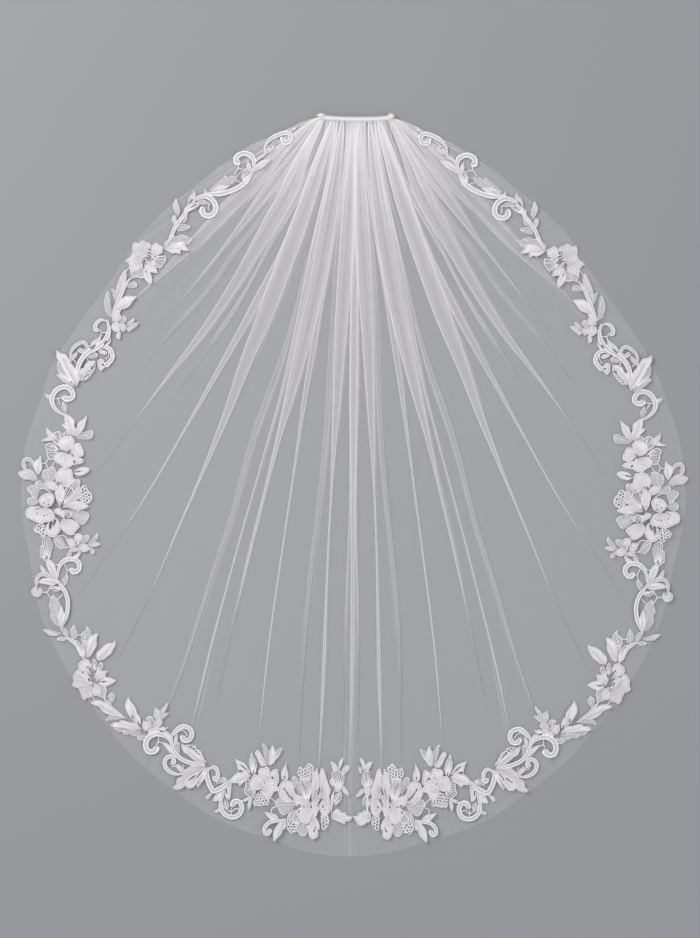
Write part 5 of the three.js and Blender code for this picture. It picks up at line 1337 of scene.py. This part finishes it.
def worked_shape(work, filling, foot, outline, leafy):
    """A leaf or petal from its foot out to its outline: a raised rim of satin stitches, and
    inside it satin, net or open work with threads that fan out from the foot."""
    low, high = outline.min(0), outline.max(0)
    slits = [end for one, two, _ in work.holes if ((one > low) & (one < high)).all()
             for end in (one, two)]
    if slits:
        count = np.arange(0, len(outline) - 0.99, 0.5)
        outline = np.stack([np.interp(count, np.arange(len(outline)), outline[:, k])
                            for k in (0, 1)], 1)
    out = outline - foot
    far = np.hypot(*out.T)
    size = far.max()
    gone = travelled(outline)
    side_place = np.linspace(-1, 1, len(outline))
    solid = filling == "satin"
    rim, pad, body, apart = FILLINGS[filling]
    rim = min(rim, size * 0.15)
    if solid and not leafy:
        body = PETAL_AT
    inner = np.clip(1 - rim / np.maximum(far, 1e-5), 0.3, 0.97)
    groove = np.clip(1 - 1.55 * rim / np.maximum(far, 1e-5), 0.25, 0.95)
    rows = np.linspace(0, 1, 3 if size < 0.012 else 5)[1:]
    if slits:
        held = [np.hypot(*(end - foot)) / far[np.argmax(out @ (end - foot) / far)]
                for end in slits]
        fine = np.arange(min(held) - SLIT_MARGIN / size, max(held) + SLIT_MARGIN / size,
                         SLIT_ROWS / size)
        rows = np.unique(np.append(rows, fine[(fine > 0) & (fine < 1)]))
    share = [np.full_like(inner, 0.04)] + [groove * (0.04 + 0.96 * row) for row in rows]
    inside = len(share)
    share = np.array(share + [inner + (1 - inner) * s for s in (0.0, 0.3, 0.7, 1.0)])
    grid = foot + out * share[..., None]
    base = LACE_LIFT + work.level
    bulge = np.sqrt(np.clip(share / groove, 0, 1)) * (1 - np.abs(side_place) ** 6)
    vein = np.exp(-(side_place / 0.12) ** 2) if leafy else 0 * side_place
    heights = base + pad * bulge * (1 - 0.6 * vein)
    edge = SOLID_RIM_RISE if solid else RIM_RISE
    heights[inside:] = base + np.array([0.1 * pad, edge, edge * 0.95, 0])[:, None]
    heights[-1] = 0.0003 + work.level * 0.6
    # painted shade: satin is painted darker towards the foot and along a leaf's vein, darkest in the
    # groove inside the rim, lightest on the rim's crown and darker again on its outer wall; other
    # fillings get a weaker version of it
    painted_shade_ramp = smooth(share / groove)
    if solid:
        depth = (0.7 + 0.28 * painted_shade_ramp) * (1 - 0.36 * vein * (share < 0.85))
    else:
        depth = 0.75 + 0.2 * painted_shade_ramp
    depth[inside:] = np.array([0.1 if solid else 0.5, 1.0, 1.0, 0.6])[:, None]
    ahead = outline[np.argmax(far)] - foot
    ahead = ahead / np.hypot(*ahead)
    over = grid - foot
    uv = together(over @ ahead + foot[0] * 0.7, over @ np.array([-ahead[1], ahead[0]]))
    uv_rim = together(gone, far * (1 - share[inside:]))
    fans = max(2.0, gone[-1] / 0.0042)
    spread = together(side_place * fans / 2, share * size / 0.003)
    cut = inside + 1
    work.sheet(grid[:cut], heights[:cut], uv[:cut], spread[:cut], body, depth[:cut])
    work.sheet(grid[inside:], heights[inside:], uv_rim, spread[inside:],
               RIM_AT if filling != "grey" else DULL_RIM_AT, depth[inside:])
    if filling == "net" and size > 0.011:
        work.cord(grid[1:cut, len(outline) // 2], CORD_FINE * 0.8, base + 0.00025)
    if apart:
        count = max(3, int(gone[-1] / apart))
        for k in range(1, count):
            at = int(round(k / count * (len(outline) - 1)))
            work.cord(grid[1:cut, at], RIBS_RADIUS if filling == "ribs" else CORD_FINE,
                      base + THREAD_LIFT)
    if solid and not leafy and size > 0.0115:
        echo = foot + out * (groove * 0.7)[:, None]
        work.cord(echo[2:-2], CORD_FINE * 0.8, base + pad * 0.8 + 0.00012)


def blade(work, filling, width, places, side, bend):
    """A narrow leaf from its foot to its tip."""
    foot, tip = places
    span = tip - foot
    length = np.hypot(*span)
    ahead = span / length
    across = np.array([-ahead[1], ahead[0]]) * side
    half = width * PIXEL / 2
    t = np.linspace(0, 1, max(9, int(length / 0.0016)))
    spine = foot + span * t[:, None] + across * (bend * length * np.sin(t * math.pi))[:, None]
    reach = np.interp(t, *BLADE)
    waver = 1 + 0.09 * np.sin(t * 15 + width) * (width > 5)
    one = spine + across * (reach * waver * half)[:, None]
    two = spine - across * (reach * waver[::-1] * half)[:, None]
    worked_shape(work, filling, foot - span * 0.02, np.vstack([one, two[::-1]]), True)


def band(work, kind, filling, width, places, side):
    """A scroll or a stem: raised edges along a line with a flatter middle, and at a scroll's
    curled end a round tip."""
    line = flowing_line(places, 5)
    gone = travelled(line)
    length = gone[-1]
    steps = np.linspace(0, length, max(8, int(length / 0.0008)))
    line = np.stack([np.interp(steps, gone, line[:, k]) for k in (0, 1)], 1)
    gone = steps
    t = gone / length
    way = np.gradient(line, axis=0)
    way /= np.hypot(*way.T)[:, None]
    across = np.stack([-way[:, 1], way[:, 0]], 1) * side
    half = width * PIXEL / 2
    if kind == "scroll":
        reach = 0.45 + 0.55 * smooth(t / 0.4)
        reach = reach * (1 + 0.22 * smooth((t - 0.85) / 0.1))
        left = np.clip((length - gone) / (half * 1.2), 0, 1)
        reach = reach * np.sqrt(1 - (1 - left) ** 2)
        reach = reach * (1 + 0.07 * np.sin(gone / 0.0007))
    else:
        reach = (0.45 + 0.55 * smooth(t / 0.25)) * (0.45 + 0.55 * smooth((1 - t) / 0.25))
    base = 0.00045 + work.level
    edge, core = (DULL_RIM_AT, DULL_AT) if filling == "grey" else (RIM_AT, BAND_AT)
    # painted shade: the band's colour is painted darker at its edges and, on a wide band, in the grooves
    # beside its middle
    if width >= 2.8:
        place = np.array([-1, -0.86, -0.62, -0.42, 0, 0.42, 0.62, 0.86, 1])
        profile = np.array([0.1, 0.9, 1.0, 0.45, 0.6, 0.45, 1.0, 0.9, 0.1])
        depth = np.array([0.5, 1, 1, 0.45, 0.85, 0.45, 1, 1, 0.5])
        finish = np.array([edge, edge, edge, core, core, edge, edge, edge])
    else:
        place = np.linspace(-1, 1, 6)
        profile = np.sqrt(np.clip(1 - place ** 2, 0, 1)) + 0.1
        depth = np.array([0.5, 0.9, 1, 1, 0.9, 0.5])
        finish = edge
    grid = line[:, None, :] + across[:, None, :] * (reach[:, None] * half * place)[..., None]
    uv = together(gone[:, None], reach[:, None] * half * place)
    rise = min(0.0008, 0.25 * half + 0.0002)
    heights = base + rise * np.clip(reach, 0, 1)[:, None] ** 0.5 * profile
    work.sheet(grid, heights, uv, uv, finish, depth)


def lace_motif(name, chart, side, ground):
    middle, rows, slits, beads = chart
    work = Lacework(ground)

    def placed(numbers):
        """Places in half pixels beside the motif's middle as places of the veil in metres."""
        return in_metres([(x / 2 + middle[0], y / 2 + middle[1]) for x, y in pairs(numbers)],
                         side)

    for width, *numbers in slits:
        ends = placed(numbers)
        work.holes.append((ends[0], ends[-1], width * PIXEL * SLIT_HALF))
    chance = random.Random(name[:-5])
    for count, (words, *numbers) in enumerate(rows):
        filling, _, kind = words.rpartition(" ")
        work.level = (TOP_LEVEL if words == "top bar" else min(count, TOP_LEVEL)) * LEVEL_RISE
        if kind == "bar":
            line = flowing_line(placed(numbers), 6)
            work.cord(line, CORD_RAISED, BAR_LIFT + work.level)
        elif kind in ("leaf", "petal"):
            foot, *outline = placed(numbers)
            worked_shape(work, filling, foot, flowing_line(outline, 4), kind == "leaf")
        elif kind == "blade":
            bend = chance.uniform(-0.07, 0.07)
            blade(work, filling, numbers[0], placed(numbers[1:]), side, bend)
        else:
            band(work, kind, filling, numbers[0], placed(numbers[1:]), side)
    for size, *numbers in beads:
        work.bead(placed(numbers)[0], BEAD_SIZE * size / 2)
    piece = new_mesh(name, work.points, work.faces, work.edges)
    mesh = piece.data
    for finish in LACE_FINISHES:
        mesh.materials.append(finish)
    mesh.polygons.foreach_set("material_index", work.finish)
    write_uv(mesh, np.concatenate(work.uv))
    write_uv(mesh, np.concatenate(work.spread), "Fan")
    write_value(mesh, "cord_radius", work.radius)
    # depth: painted shade for the satin finishes, from 0 in a groove to 1 on raised thread
    write_value(mesh, "depth", work.depth)
    write_value(mesh, "bead", np.isin(np.arange(len(work.points)), work.beads), "BOOLEAN")
    mesh.shade_smooth()
    return piece


def cord_and_bead_tree():
    """Turns loose edges into round cords of their own radius and loose points into beads."""
    tree, given, result = node_tree("Geometry", "cords_and_beads", {
        "Geometry": ("Geometry", None), "Cord Sides": ("Int", 6), "Bead Rings": ("Int", 6),
        "Cord Material": ("Material", None), "Bead Material": ("Material", None)},
        {"Geometry": "Geometry"})

    def named(name, kind):
        return add(tree, "GeometryNodeInputNamedAttribute", {"Name": name},
                   data_type=kind).outputs["Attribute"]

    radius, bead = named("cord_radius", "FLOAT"), named("bead", "BOOLEAN")
    is_cord = add(tree, "FunctionNodeCompare", {0: radius, 1: 0.0},
                  data_type="FLOAT", operation="GREATER_THAN").outputs[0]
    not_bead = add(tree, "FunctionNodeBooleanMath", {0: bead}, operation="NOT").outputs[0]
    loose = add(tree, "FunctionNodeBooleanMath", {0: is_cord, 1: not_bead},
                operation="AND").outputs[0]
    flat = add(tree, "GeometryNodeDeleteGeometry", {"Geometry": given["Geometry"],
                                                    "Selection": is_cord}, domain="POINT")
    lines = add(tree, "GeometryNodeMeshToCurve", {"Mesh": given["Geometry"],
                                                  "Selection": loose})
    kept = add(tree, "GeometryNodeCaptureAttribute", {"Geometry": lines.outputs[0]},
               domain="POINT")
    kept.capture_items.new("FLOAT", "Travelled")
    gone = add(tree, "GeometryNodeSplineParameter").outputs["Length"]
    feed(tree, kept, {"Travelled": gone})
    sized = add(tree, "GeometryNodeSetCurveRadius", {"Curve": kept.outputs["Geometry"],
                                                     "Radius": radius})
    ring = add(tree, "GeometryNodeCurvePrimitiveCircle", {"Resolution": given["Cord Sides"],
                                                          "Radius": 1.0})
    ring_kept = add(tree, "GeometryNodeCaptureAttribute", {"Geometry": ring.outputs[0]},
                    domain="POINT")
    ring_kept.capture_items.new("FLOAT", "Around")
    share = add(tree, "GeometryNodeSplineParameter").outputs["Factor"]
    feed(tree, ring_kept, {"Around": share})
    tube = add(tree, "GeometryNodeCurveToMesh", {"Curve": sized.outputs[0],
                                                 "Profile Curve": ring_kept.outputs["Geometry"],
                                                 "Fill Caps": True})
    if "Scale" in tube.inputs:
        feed(tree, tube, {"Scale": radius})
    joined = add(tree, "ShaderNodeCombineXYZ", {"X": kept.outputs["Travelled"],
                                                "Y": ring_kept.outputs["Around"]}).outputs[0]
    written = add(tree, "GeometryNodeStoreNamedAttribute",
                  {"Geometry": tube.outputs[0], "Name": "UVMap", "Value": joined},
                  data_type="FLOAT2", domain="CORNER")
    cords = add(tree, "GeometryNodeSetMaterial", {"Geometry": written.outputs[0],
                                                  "Material": given["Cord Material"]})
    ball = add(tree, "GeometryNodeMeshUVSphere", {"Segments": 8, "Rings": given["Bead Rings"],
                                                  "Radius": 1.0})
    placed = add(tree, "GeometryNodeInstanceOnPoints",
                 {"Points": given["Geometry"], "Selection": bead,
                  "Instance": ball.outputs["Mesh"], "Scale": radius})
    real = add(tree, "GeometryNodeRealizeInstances", {"Geometry": placed.outputs[0]})
    shaded = add(tree, "GeometryNodeSetShadeSmooth", {"Geometry": real.outputs[0]})
    beads = add(tree, "GeometryNodeSetMaterial", {"Geometry": shaded.outputs[0],
                                                  "Material": given["Bead Material"]})
    whole = tree.nodes.new("GeometryNodeJoinGeometry")
    for part in (beads, cords, flat):
        feed(tree, whole, {0: part.outputs[0]})
    feed(tree, result, {0: whole.outputs[0]})
    return tree


def made_plain(piece, tree, values):
    """Runs a geometry tree on a piece and keeps its result as the piece's plain mesh."""
    modifier = piece.modifiers.new("made", "NODES")
    modifier.node_group = tree
    for item in tree.interface.items_tree:
        if item.item_type == "SOCKET" and item.in_out == "INPUT" and item.name in values:
            modifier[item.identifier] = values[item.name]
    bpy.context.view_layer.update()
    seen = piece.evaluated_get(bpy.context.evaluated_depsgraph_get())
    mesh = bpy.data.meshes.new_from_object(seen)
    piece.modifiers.remove(modifier)
    old, piece.data = piece.data, mesh
    mesh.name = piece.name
    bpy.data.meshes.remove(old)
    return piece


CORDS_AND_BEADS = cord_and_bead_tree()


def lace_border(ground):
    pieces = []
    for name, chart in LACE.items():
        side = 1 if name.endswith("left") else -1
        piece = lace_motif(f"stitched_{name}", chart, side, ground)
        made_plain(piece, CORDS_AND_BEADS, {"Cord Material": CORD, "Bead Material": BEAD})
        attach(piece, "root")
        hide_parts(f"lace_{name}")
        pieces.append(piece)
    return pieces


# The gathered band over the comb

HEADER_HALF, HEADER_DEEP, HEADER_SAG = 37.5, 5.6, 2.5


def header_middle(across):
    """Middle of the band, pixels below the comb's upper edge."""
    return HEADER_DEEP / 2 + HEADER_SAG * (1 - (across / HEADER_HALF) ** 2) * 0.8 - 1.2


def gathered_band():
    low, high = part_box("gathered_header")
    middle_z = (low[2] + high[2]) / 2
    thick = (high[2] - low[2]) / 2
    steps, around = 420, 18
    chance = np.random.default_rng(3)
    across = np.linspace(-HEADER_HALF, HEADER_HALF, steps)
    tuck = np.interp(across, np.linspace(-HEADER_HALF, HEADER_HALF, 64),
                     chance.uniform(-1, 1, 64))
    fine = np.interp(across, np.linspace(-HEADER_HALF, HEADER_HALF, 190),
                     chance.uniform(-1, 1, 190))
    points = []
    for k, x in enumerate(across):
        end = math.sqrt(max(0.0, 1 - max(0, (abs(x) - HEADER_HALF + 1.6) / 1.6) ** 2))
        for j in range(around):
            turn = 2 * math.pi * j / around
            c, s = math.cos(turn), math.sin(turn)
            ridge = 1 + 0.07 * tuck[k] + 0.05 * fine[k] * (1 if s > -0.3 else 0)
            tall = (HEADER_DEEP / 2 - 0.35) * ridge * (0.35 + 0.65 * end)
            tall += 0.9 * max(0.0, fine[k] + tuck[k]) * (s < -0.3)
            below = header_middle(x) - np.sign(s) * abs(s) ** 0.8 * tall
            flatter = 1 - 0.8 * max(0.0, -s) ** 1.5
            z = middle_z + c * thick * 0.9 * ridge * (0.35 + 0.65 * end) * flatter
            px, py = to_plane(x, below)
            points.append((px, py, z))
    faces = []
    for k in range(steps - 1):
        for j in range(around):
            a, b = k * around + j, k * around + (j + 1) % around
            faces.append((a, b, b + around, a + around))
    faces.append(tuple(range(around - 1, -1, -1)))
    faces.append(tuple((steps - 1) * around + j for j in range(around)))
    piece = new_mesh("gathered_band", points, faces)
    mesh = piece.data
    outward(piece)
    turn = np.sin(2 * math.pi * np.arange(around) / around)
    write_value(mesh, "solid", np.tile(smooth((turn + 0.95) / 1.1), steps))
    write_uv(mesh, [(across[v // around] * PIXEL, (v % around) / around * 0.02)
                    for polygon in mesh.polygons for v in polygon.vertices])
    mesh.shade_smooth()
    mesh.materials.append(HEADER_NET)
    return piece


def outward(piece):
    """Turns a closed mesh's faces outwards."""
    work = bmesh.new()
    work.from_mesh(piece.data)
    bmesh.ops.recalc_face_normals(work, faces=work.faces)
    work.to_mesh(piece.data)
    work.free()


def header_net_finish():
    material, tree, surface = finish_of("gathered_net", 0.7, 0.2)
    place = mapped(tree)
    net = use(tree, NET_THREADS, {"Vector": place, "Cell": 0.0011, "Thread": 0.4,
                                  "Softness": 0.1})["Threads"]
    stretched = vector_maths(tree, "MULTIPLY", place, (900.0, 60.0, 1.0))
    tuck = noise(tree, stretched, 1.0, 3.0)
    # Colour: painted shade, darker in the hollows of the tucks; the net's threads are lighter than its
    # holes
    share = maths(tree, "ADD", maths(tree, "MULTIPLY", tuck, 0.8),
                  maths(tree, "MULTIPLY", net, 0.25), clamp=True)
    frayed = maths(tree, "MULTIPLY", maths(tree, "SUBTRACT", tuck, 0.5), 1.2)
    seen = maths(tree, "ADD", attribute(tree, "solid"), frayed, clamp=True)
    feed(tree, surface, {
        "Base Color": blended(tree, share, (0.56, 0.525, 0.53), (0.88, 0.845, 0.845)),
        "Normal": raised(tree, tuck, 0.0006, 0.9, raised(tree, net, 0.0001, 0.5)),
        "Alpha": seen_not_shading(tree, seen, 0.3)})
    return material


HEADER_NET = header_net_finish()


def whip_stitch_tree():
    """Loops of thread set along the band's upper edge, each a little different."""
    tree, given, result = node_tree("Geometry", "whip_stitches", {
        "Geometry": ("Geometry", None), "Spacing": ("Float", 0.0032),
        "Loop Width": ("Float", 0.0019), "Thread Radius": ("Float", 0.00048),
        "Seed": ("Int", 4), "Material": ("Material", None)}, {"Geometry": "Geometry"})
    line = add(tree, "GeometryNodeMeshToCurve", {"Mesh": given["Geometry"]})
    points = add(tree, "GeometryNodeCurveToPoints", {"Curve": line.outputs[0],
                                                     "Length": given["Spacing"]}, mode="LENGTH")
    loop = add(tree, "GeometryNodeCurvePrimitiveCircle", {"Resolution": 14, "Radius": 1.0})
    tipped = add(tree, "GeometryNodeTransform", {"Geometry": loop.outputs[0],
                                                 "Rotation": (math.pi / 2, 0, math.pi / 2)})
    size = add(tree, "FunctionNodeRandomValue", {2: 0.85, 3: 1.15, "Seed": given["Seed"]},
               data_type="FLOAT")
    tilt = add(tree, "FunctionNodeRandomValue",
               {0: (-0.2, -0.15, 0.15), 1: (0.2, 0.15, 0.75), "Seed": given["Seed"]},
               data_type="FLOAT_VECTOR")
    wide = maths(tree, "MULTIPLY", given["Loop Width"], size.outputs[1])
    placed = add(tree, "GeometryNodeInstanceOnPoints",
                 {"Points": points.outputs[0], "Instance": tipped.outputs[0],
                  "Rotation": tilt.outputs[0], "Scale": wide})
    real = add(tree, "GeometryNodeRealizeInstances", {"Geometry": placed.outputs[0]})
    ring = add(tree, "GeometryNodeCurvePrimitiveCircle",
               {"Resolution": 6, "Radius": given["Thread Radius"]})
    sized = add(tree, "GeometryNodeSetCurveRadius", {"Curve": real.outputs[0], "Radius": 1.0})
    tube = add(tree, "GeometryNodeCurveToMesh", {"Curve": sized.outputs[0],
                                                 "Profile Curve": ring.outputs[0]})
    shaded = add(tree, "GeometryNodeSetShadeSmooth", {"Geometry": tube.outputs[0]})
    done = add(tree, "GeometryNodeSetMaterial", {"Geometry": shaded.outputs[0],
                                                 "Material": given["Material"]})
    feed(tree, result, {0: done.outputs[0]})
    return tree


def whip_stitches():
    low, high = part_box("gathered_header")
    z = (low[2] + high[2]) / 2
    across = np.linspace(-HEADER_HALF + 1.5, HEADER_HALF - 1.5, 60)
    line = [(*to_plane(x, header_middle(x) - HEADER_DEEP * 0.4), z) for x in across]
    piece = new_mesh("whip_stitches", line, edges=[(k, k + 1) for k in range(59)])
    made_plain(piece, whip_stitch_tree(), {"Material": HEADER_THREAD})
    return piece


KNOT_DROP = np.array([0, -0.0038, 0.0006])  # the knot sits down on the end of the band


def thread_knot(side, word):
    """Turns of thread wound over one another at the end of the band."""
    low, high = (np.array(c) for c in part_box(f"thread_knot_{word}"))
    middle, half = (low + high) / 2, (high - low) / 2 - 0.0004
    chance = random.Random(f"knot {word}")
    points, edges = [], []
    for _ in range(8):
        axis = Vector((chance.uniform(-1, 1), chance.uniform(-1, 1),
                       chance.uniform(-0.8, 0.8))).normalized()
        one = axis.orthogonal().normalized()
        two = axis.cross(one)
        start = len(points)
        swell = chance.uniform(0.55, 0.85)
        for k in range(25):
            turn = 2 * math.pi * k / 24 * 1.05
            p = (one * math.cos(turn) + two * math.sin(turn)
                 + axis * 0.35 * math.sin(turn * 0.5)) * swell
            points.append(tuple(middle + np.array(p) * half * (1.35, 1.0, 0.9) + KNOT_DROP))
        edges += [(start + k, start + k + 1) for k in range(24)]
    for tail in range(7):
        start = len(points)
        lean = math.radians(90 - 75 * side + 25 * side * tail)
        away = np.array([math.cos(lean), math.sin(lean), chance.uniform(-0.2, 0.2)])
        reach = chance.uniform(1.0, 1.9)
        for k in range(6):
            bend = np.array([0.05 * side * k, -0.01 * k * k, 0])
            points.append(tuple(middle + (away * (0.3 + reach * 0.2 * k) + bend) * half
                                + KNOT_DROP))
        edges += [(start + k, start + k + 1) for k in range(5)]
    piece = new_mesh(f"wound_knot_{word}", points, edges=edges)
    write_value(piece.data, "cord_radius", [0.00055] * len(points))
    write_value(piece.data, "bead", [False] * len(points), "BOOLEAN")
    made_plain(piece, CORDS_AND_BEADS, {"Cord Material": HEADER_THREAD, "Bead Material": BEAD})
    return piece


# The room

def studio():
    bpy.ops.mesh.primitive_plane_add(size=40, location=(0, 0, 0))
    floor = bpy.context.object
    floor.name = "floor"
    floor.data.transform(Matrix.Translation((0, 0, -0.0004)))
    floor.data.materials.append(floor_finish())
    world = bpy.data.worlds.new("soft_room")
    bpy.context.scene.world = world
    world.use_nodes = True
    back = world.node_tree.nodes["Background"]
    feed(world.node_tree, back, {"Color": (0.93, 0.96, 1.0, 1), "Strength": 0.70})

    def lamp(name, place, size, power, colour):
        data = bpy.data.lights.new(name, "AREA")
        data.shape, data.size = "SQUARE", size
        data.energy, data.color = power, colour
        made = bpy.data.objects.new(name, data)
        bpy.context.scene.collection.objects.link(made)
        made.location = place
        made.rotation_euler = (-Vector(place)).to_track_quat("-Z", "Y").to_euler()

    lamp("window", (-2.3, 1.9, 2.1), 1.5, 88, (1.0, 0.985, 0.97))
    lamp("fill", (2.4, -1.2, 2.6), 2.4, 27, (0.95, 0.97, 1.0))
    bpy.context.scene.view_settings.view_transform = "Standard"
    bpy.context.scene.view_settings.look = "None"


def photo_camera():
    data = bpy.data.cameras.new("camera")
    data.sensor_fit, data.sensor_height, data.lens = "VERTICAL", 36, 85
    data.clip_end = 60
    camera = bpy.data.objects.new("camera", data)
    bpy.context.scene.collection.objects.link(camera)
    middle = to_plane(*on_axis(FRAME_WIDE / 2, FRAME_TALL / 2))
    camera.location = (*middle, FRAME_TALL * PIXEL * data.lens / data.sensor_height)
    camera.rotation_euler = (0, 0, AXIS_TILT)
    bpy.context.scene.camera = camera


photo_camera()
studio()
bpy.context.scene.cycles.transparent_max_bounces = 64

sheet, net_points = tulle_sheet()
ground = Ground(net_points)
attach(sheet, "root")
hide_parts("tulle_net")
border = lace_border(ground)

header = gathered_band()
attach(header, "root")
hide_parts("gathered_header")
stitches = whip_stitches()
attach(stitches, "root")
for side, word in ((-1, "left"), (1, "right")):
    knot = thread_knot(side, word)
    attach(knot, "root")
    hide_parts(f"thread_knot_{word}")

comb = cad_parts["comb"]
comb.data.materials.clear()
comb.data.materials.append(comb_finish())
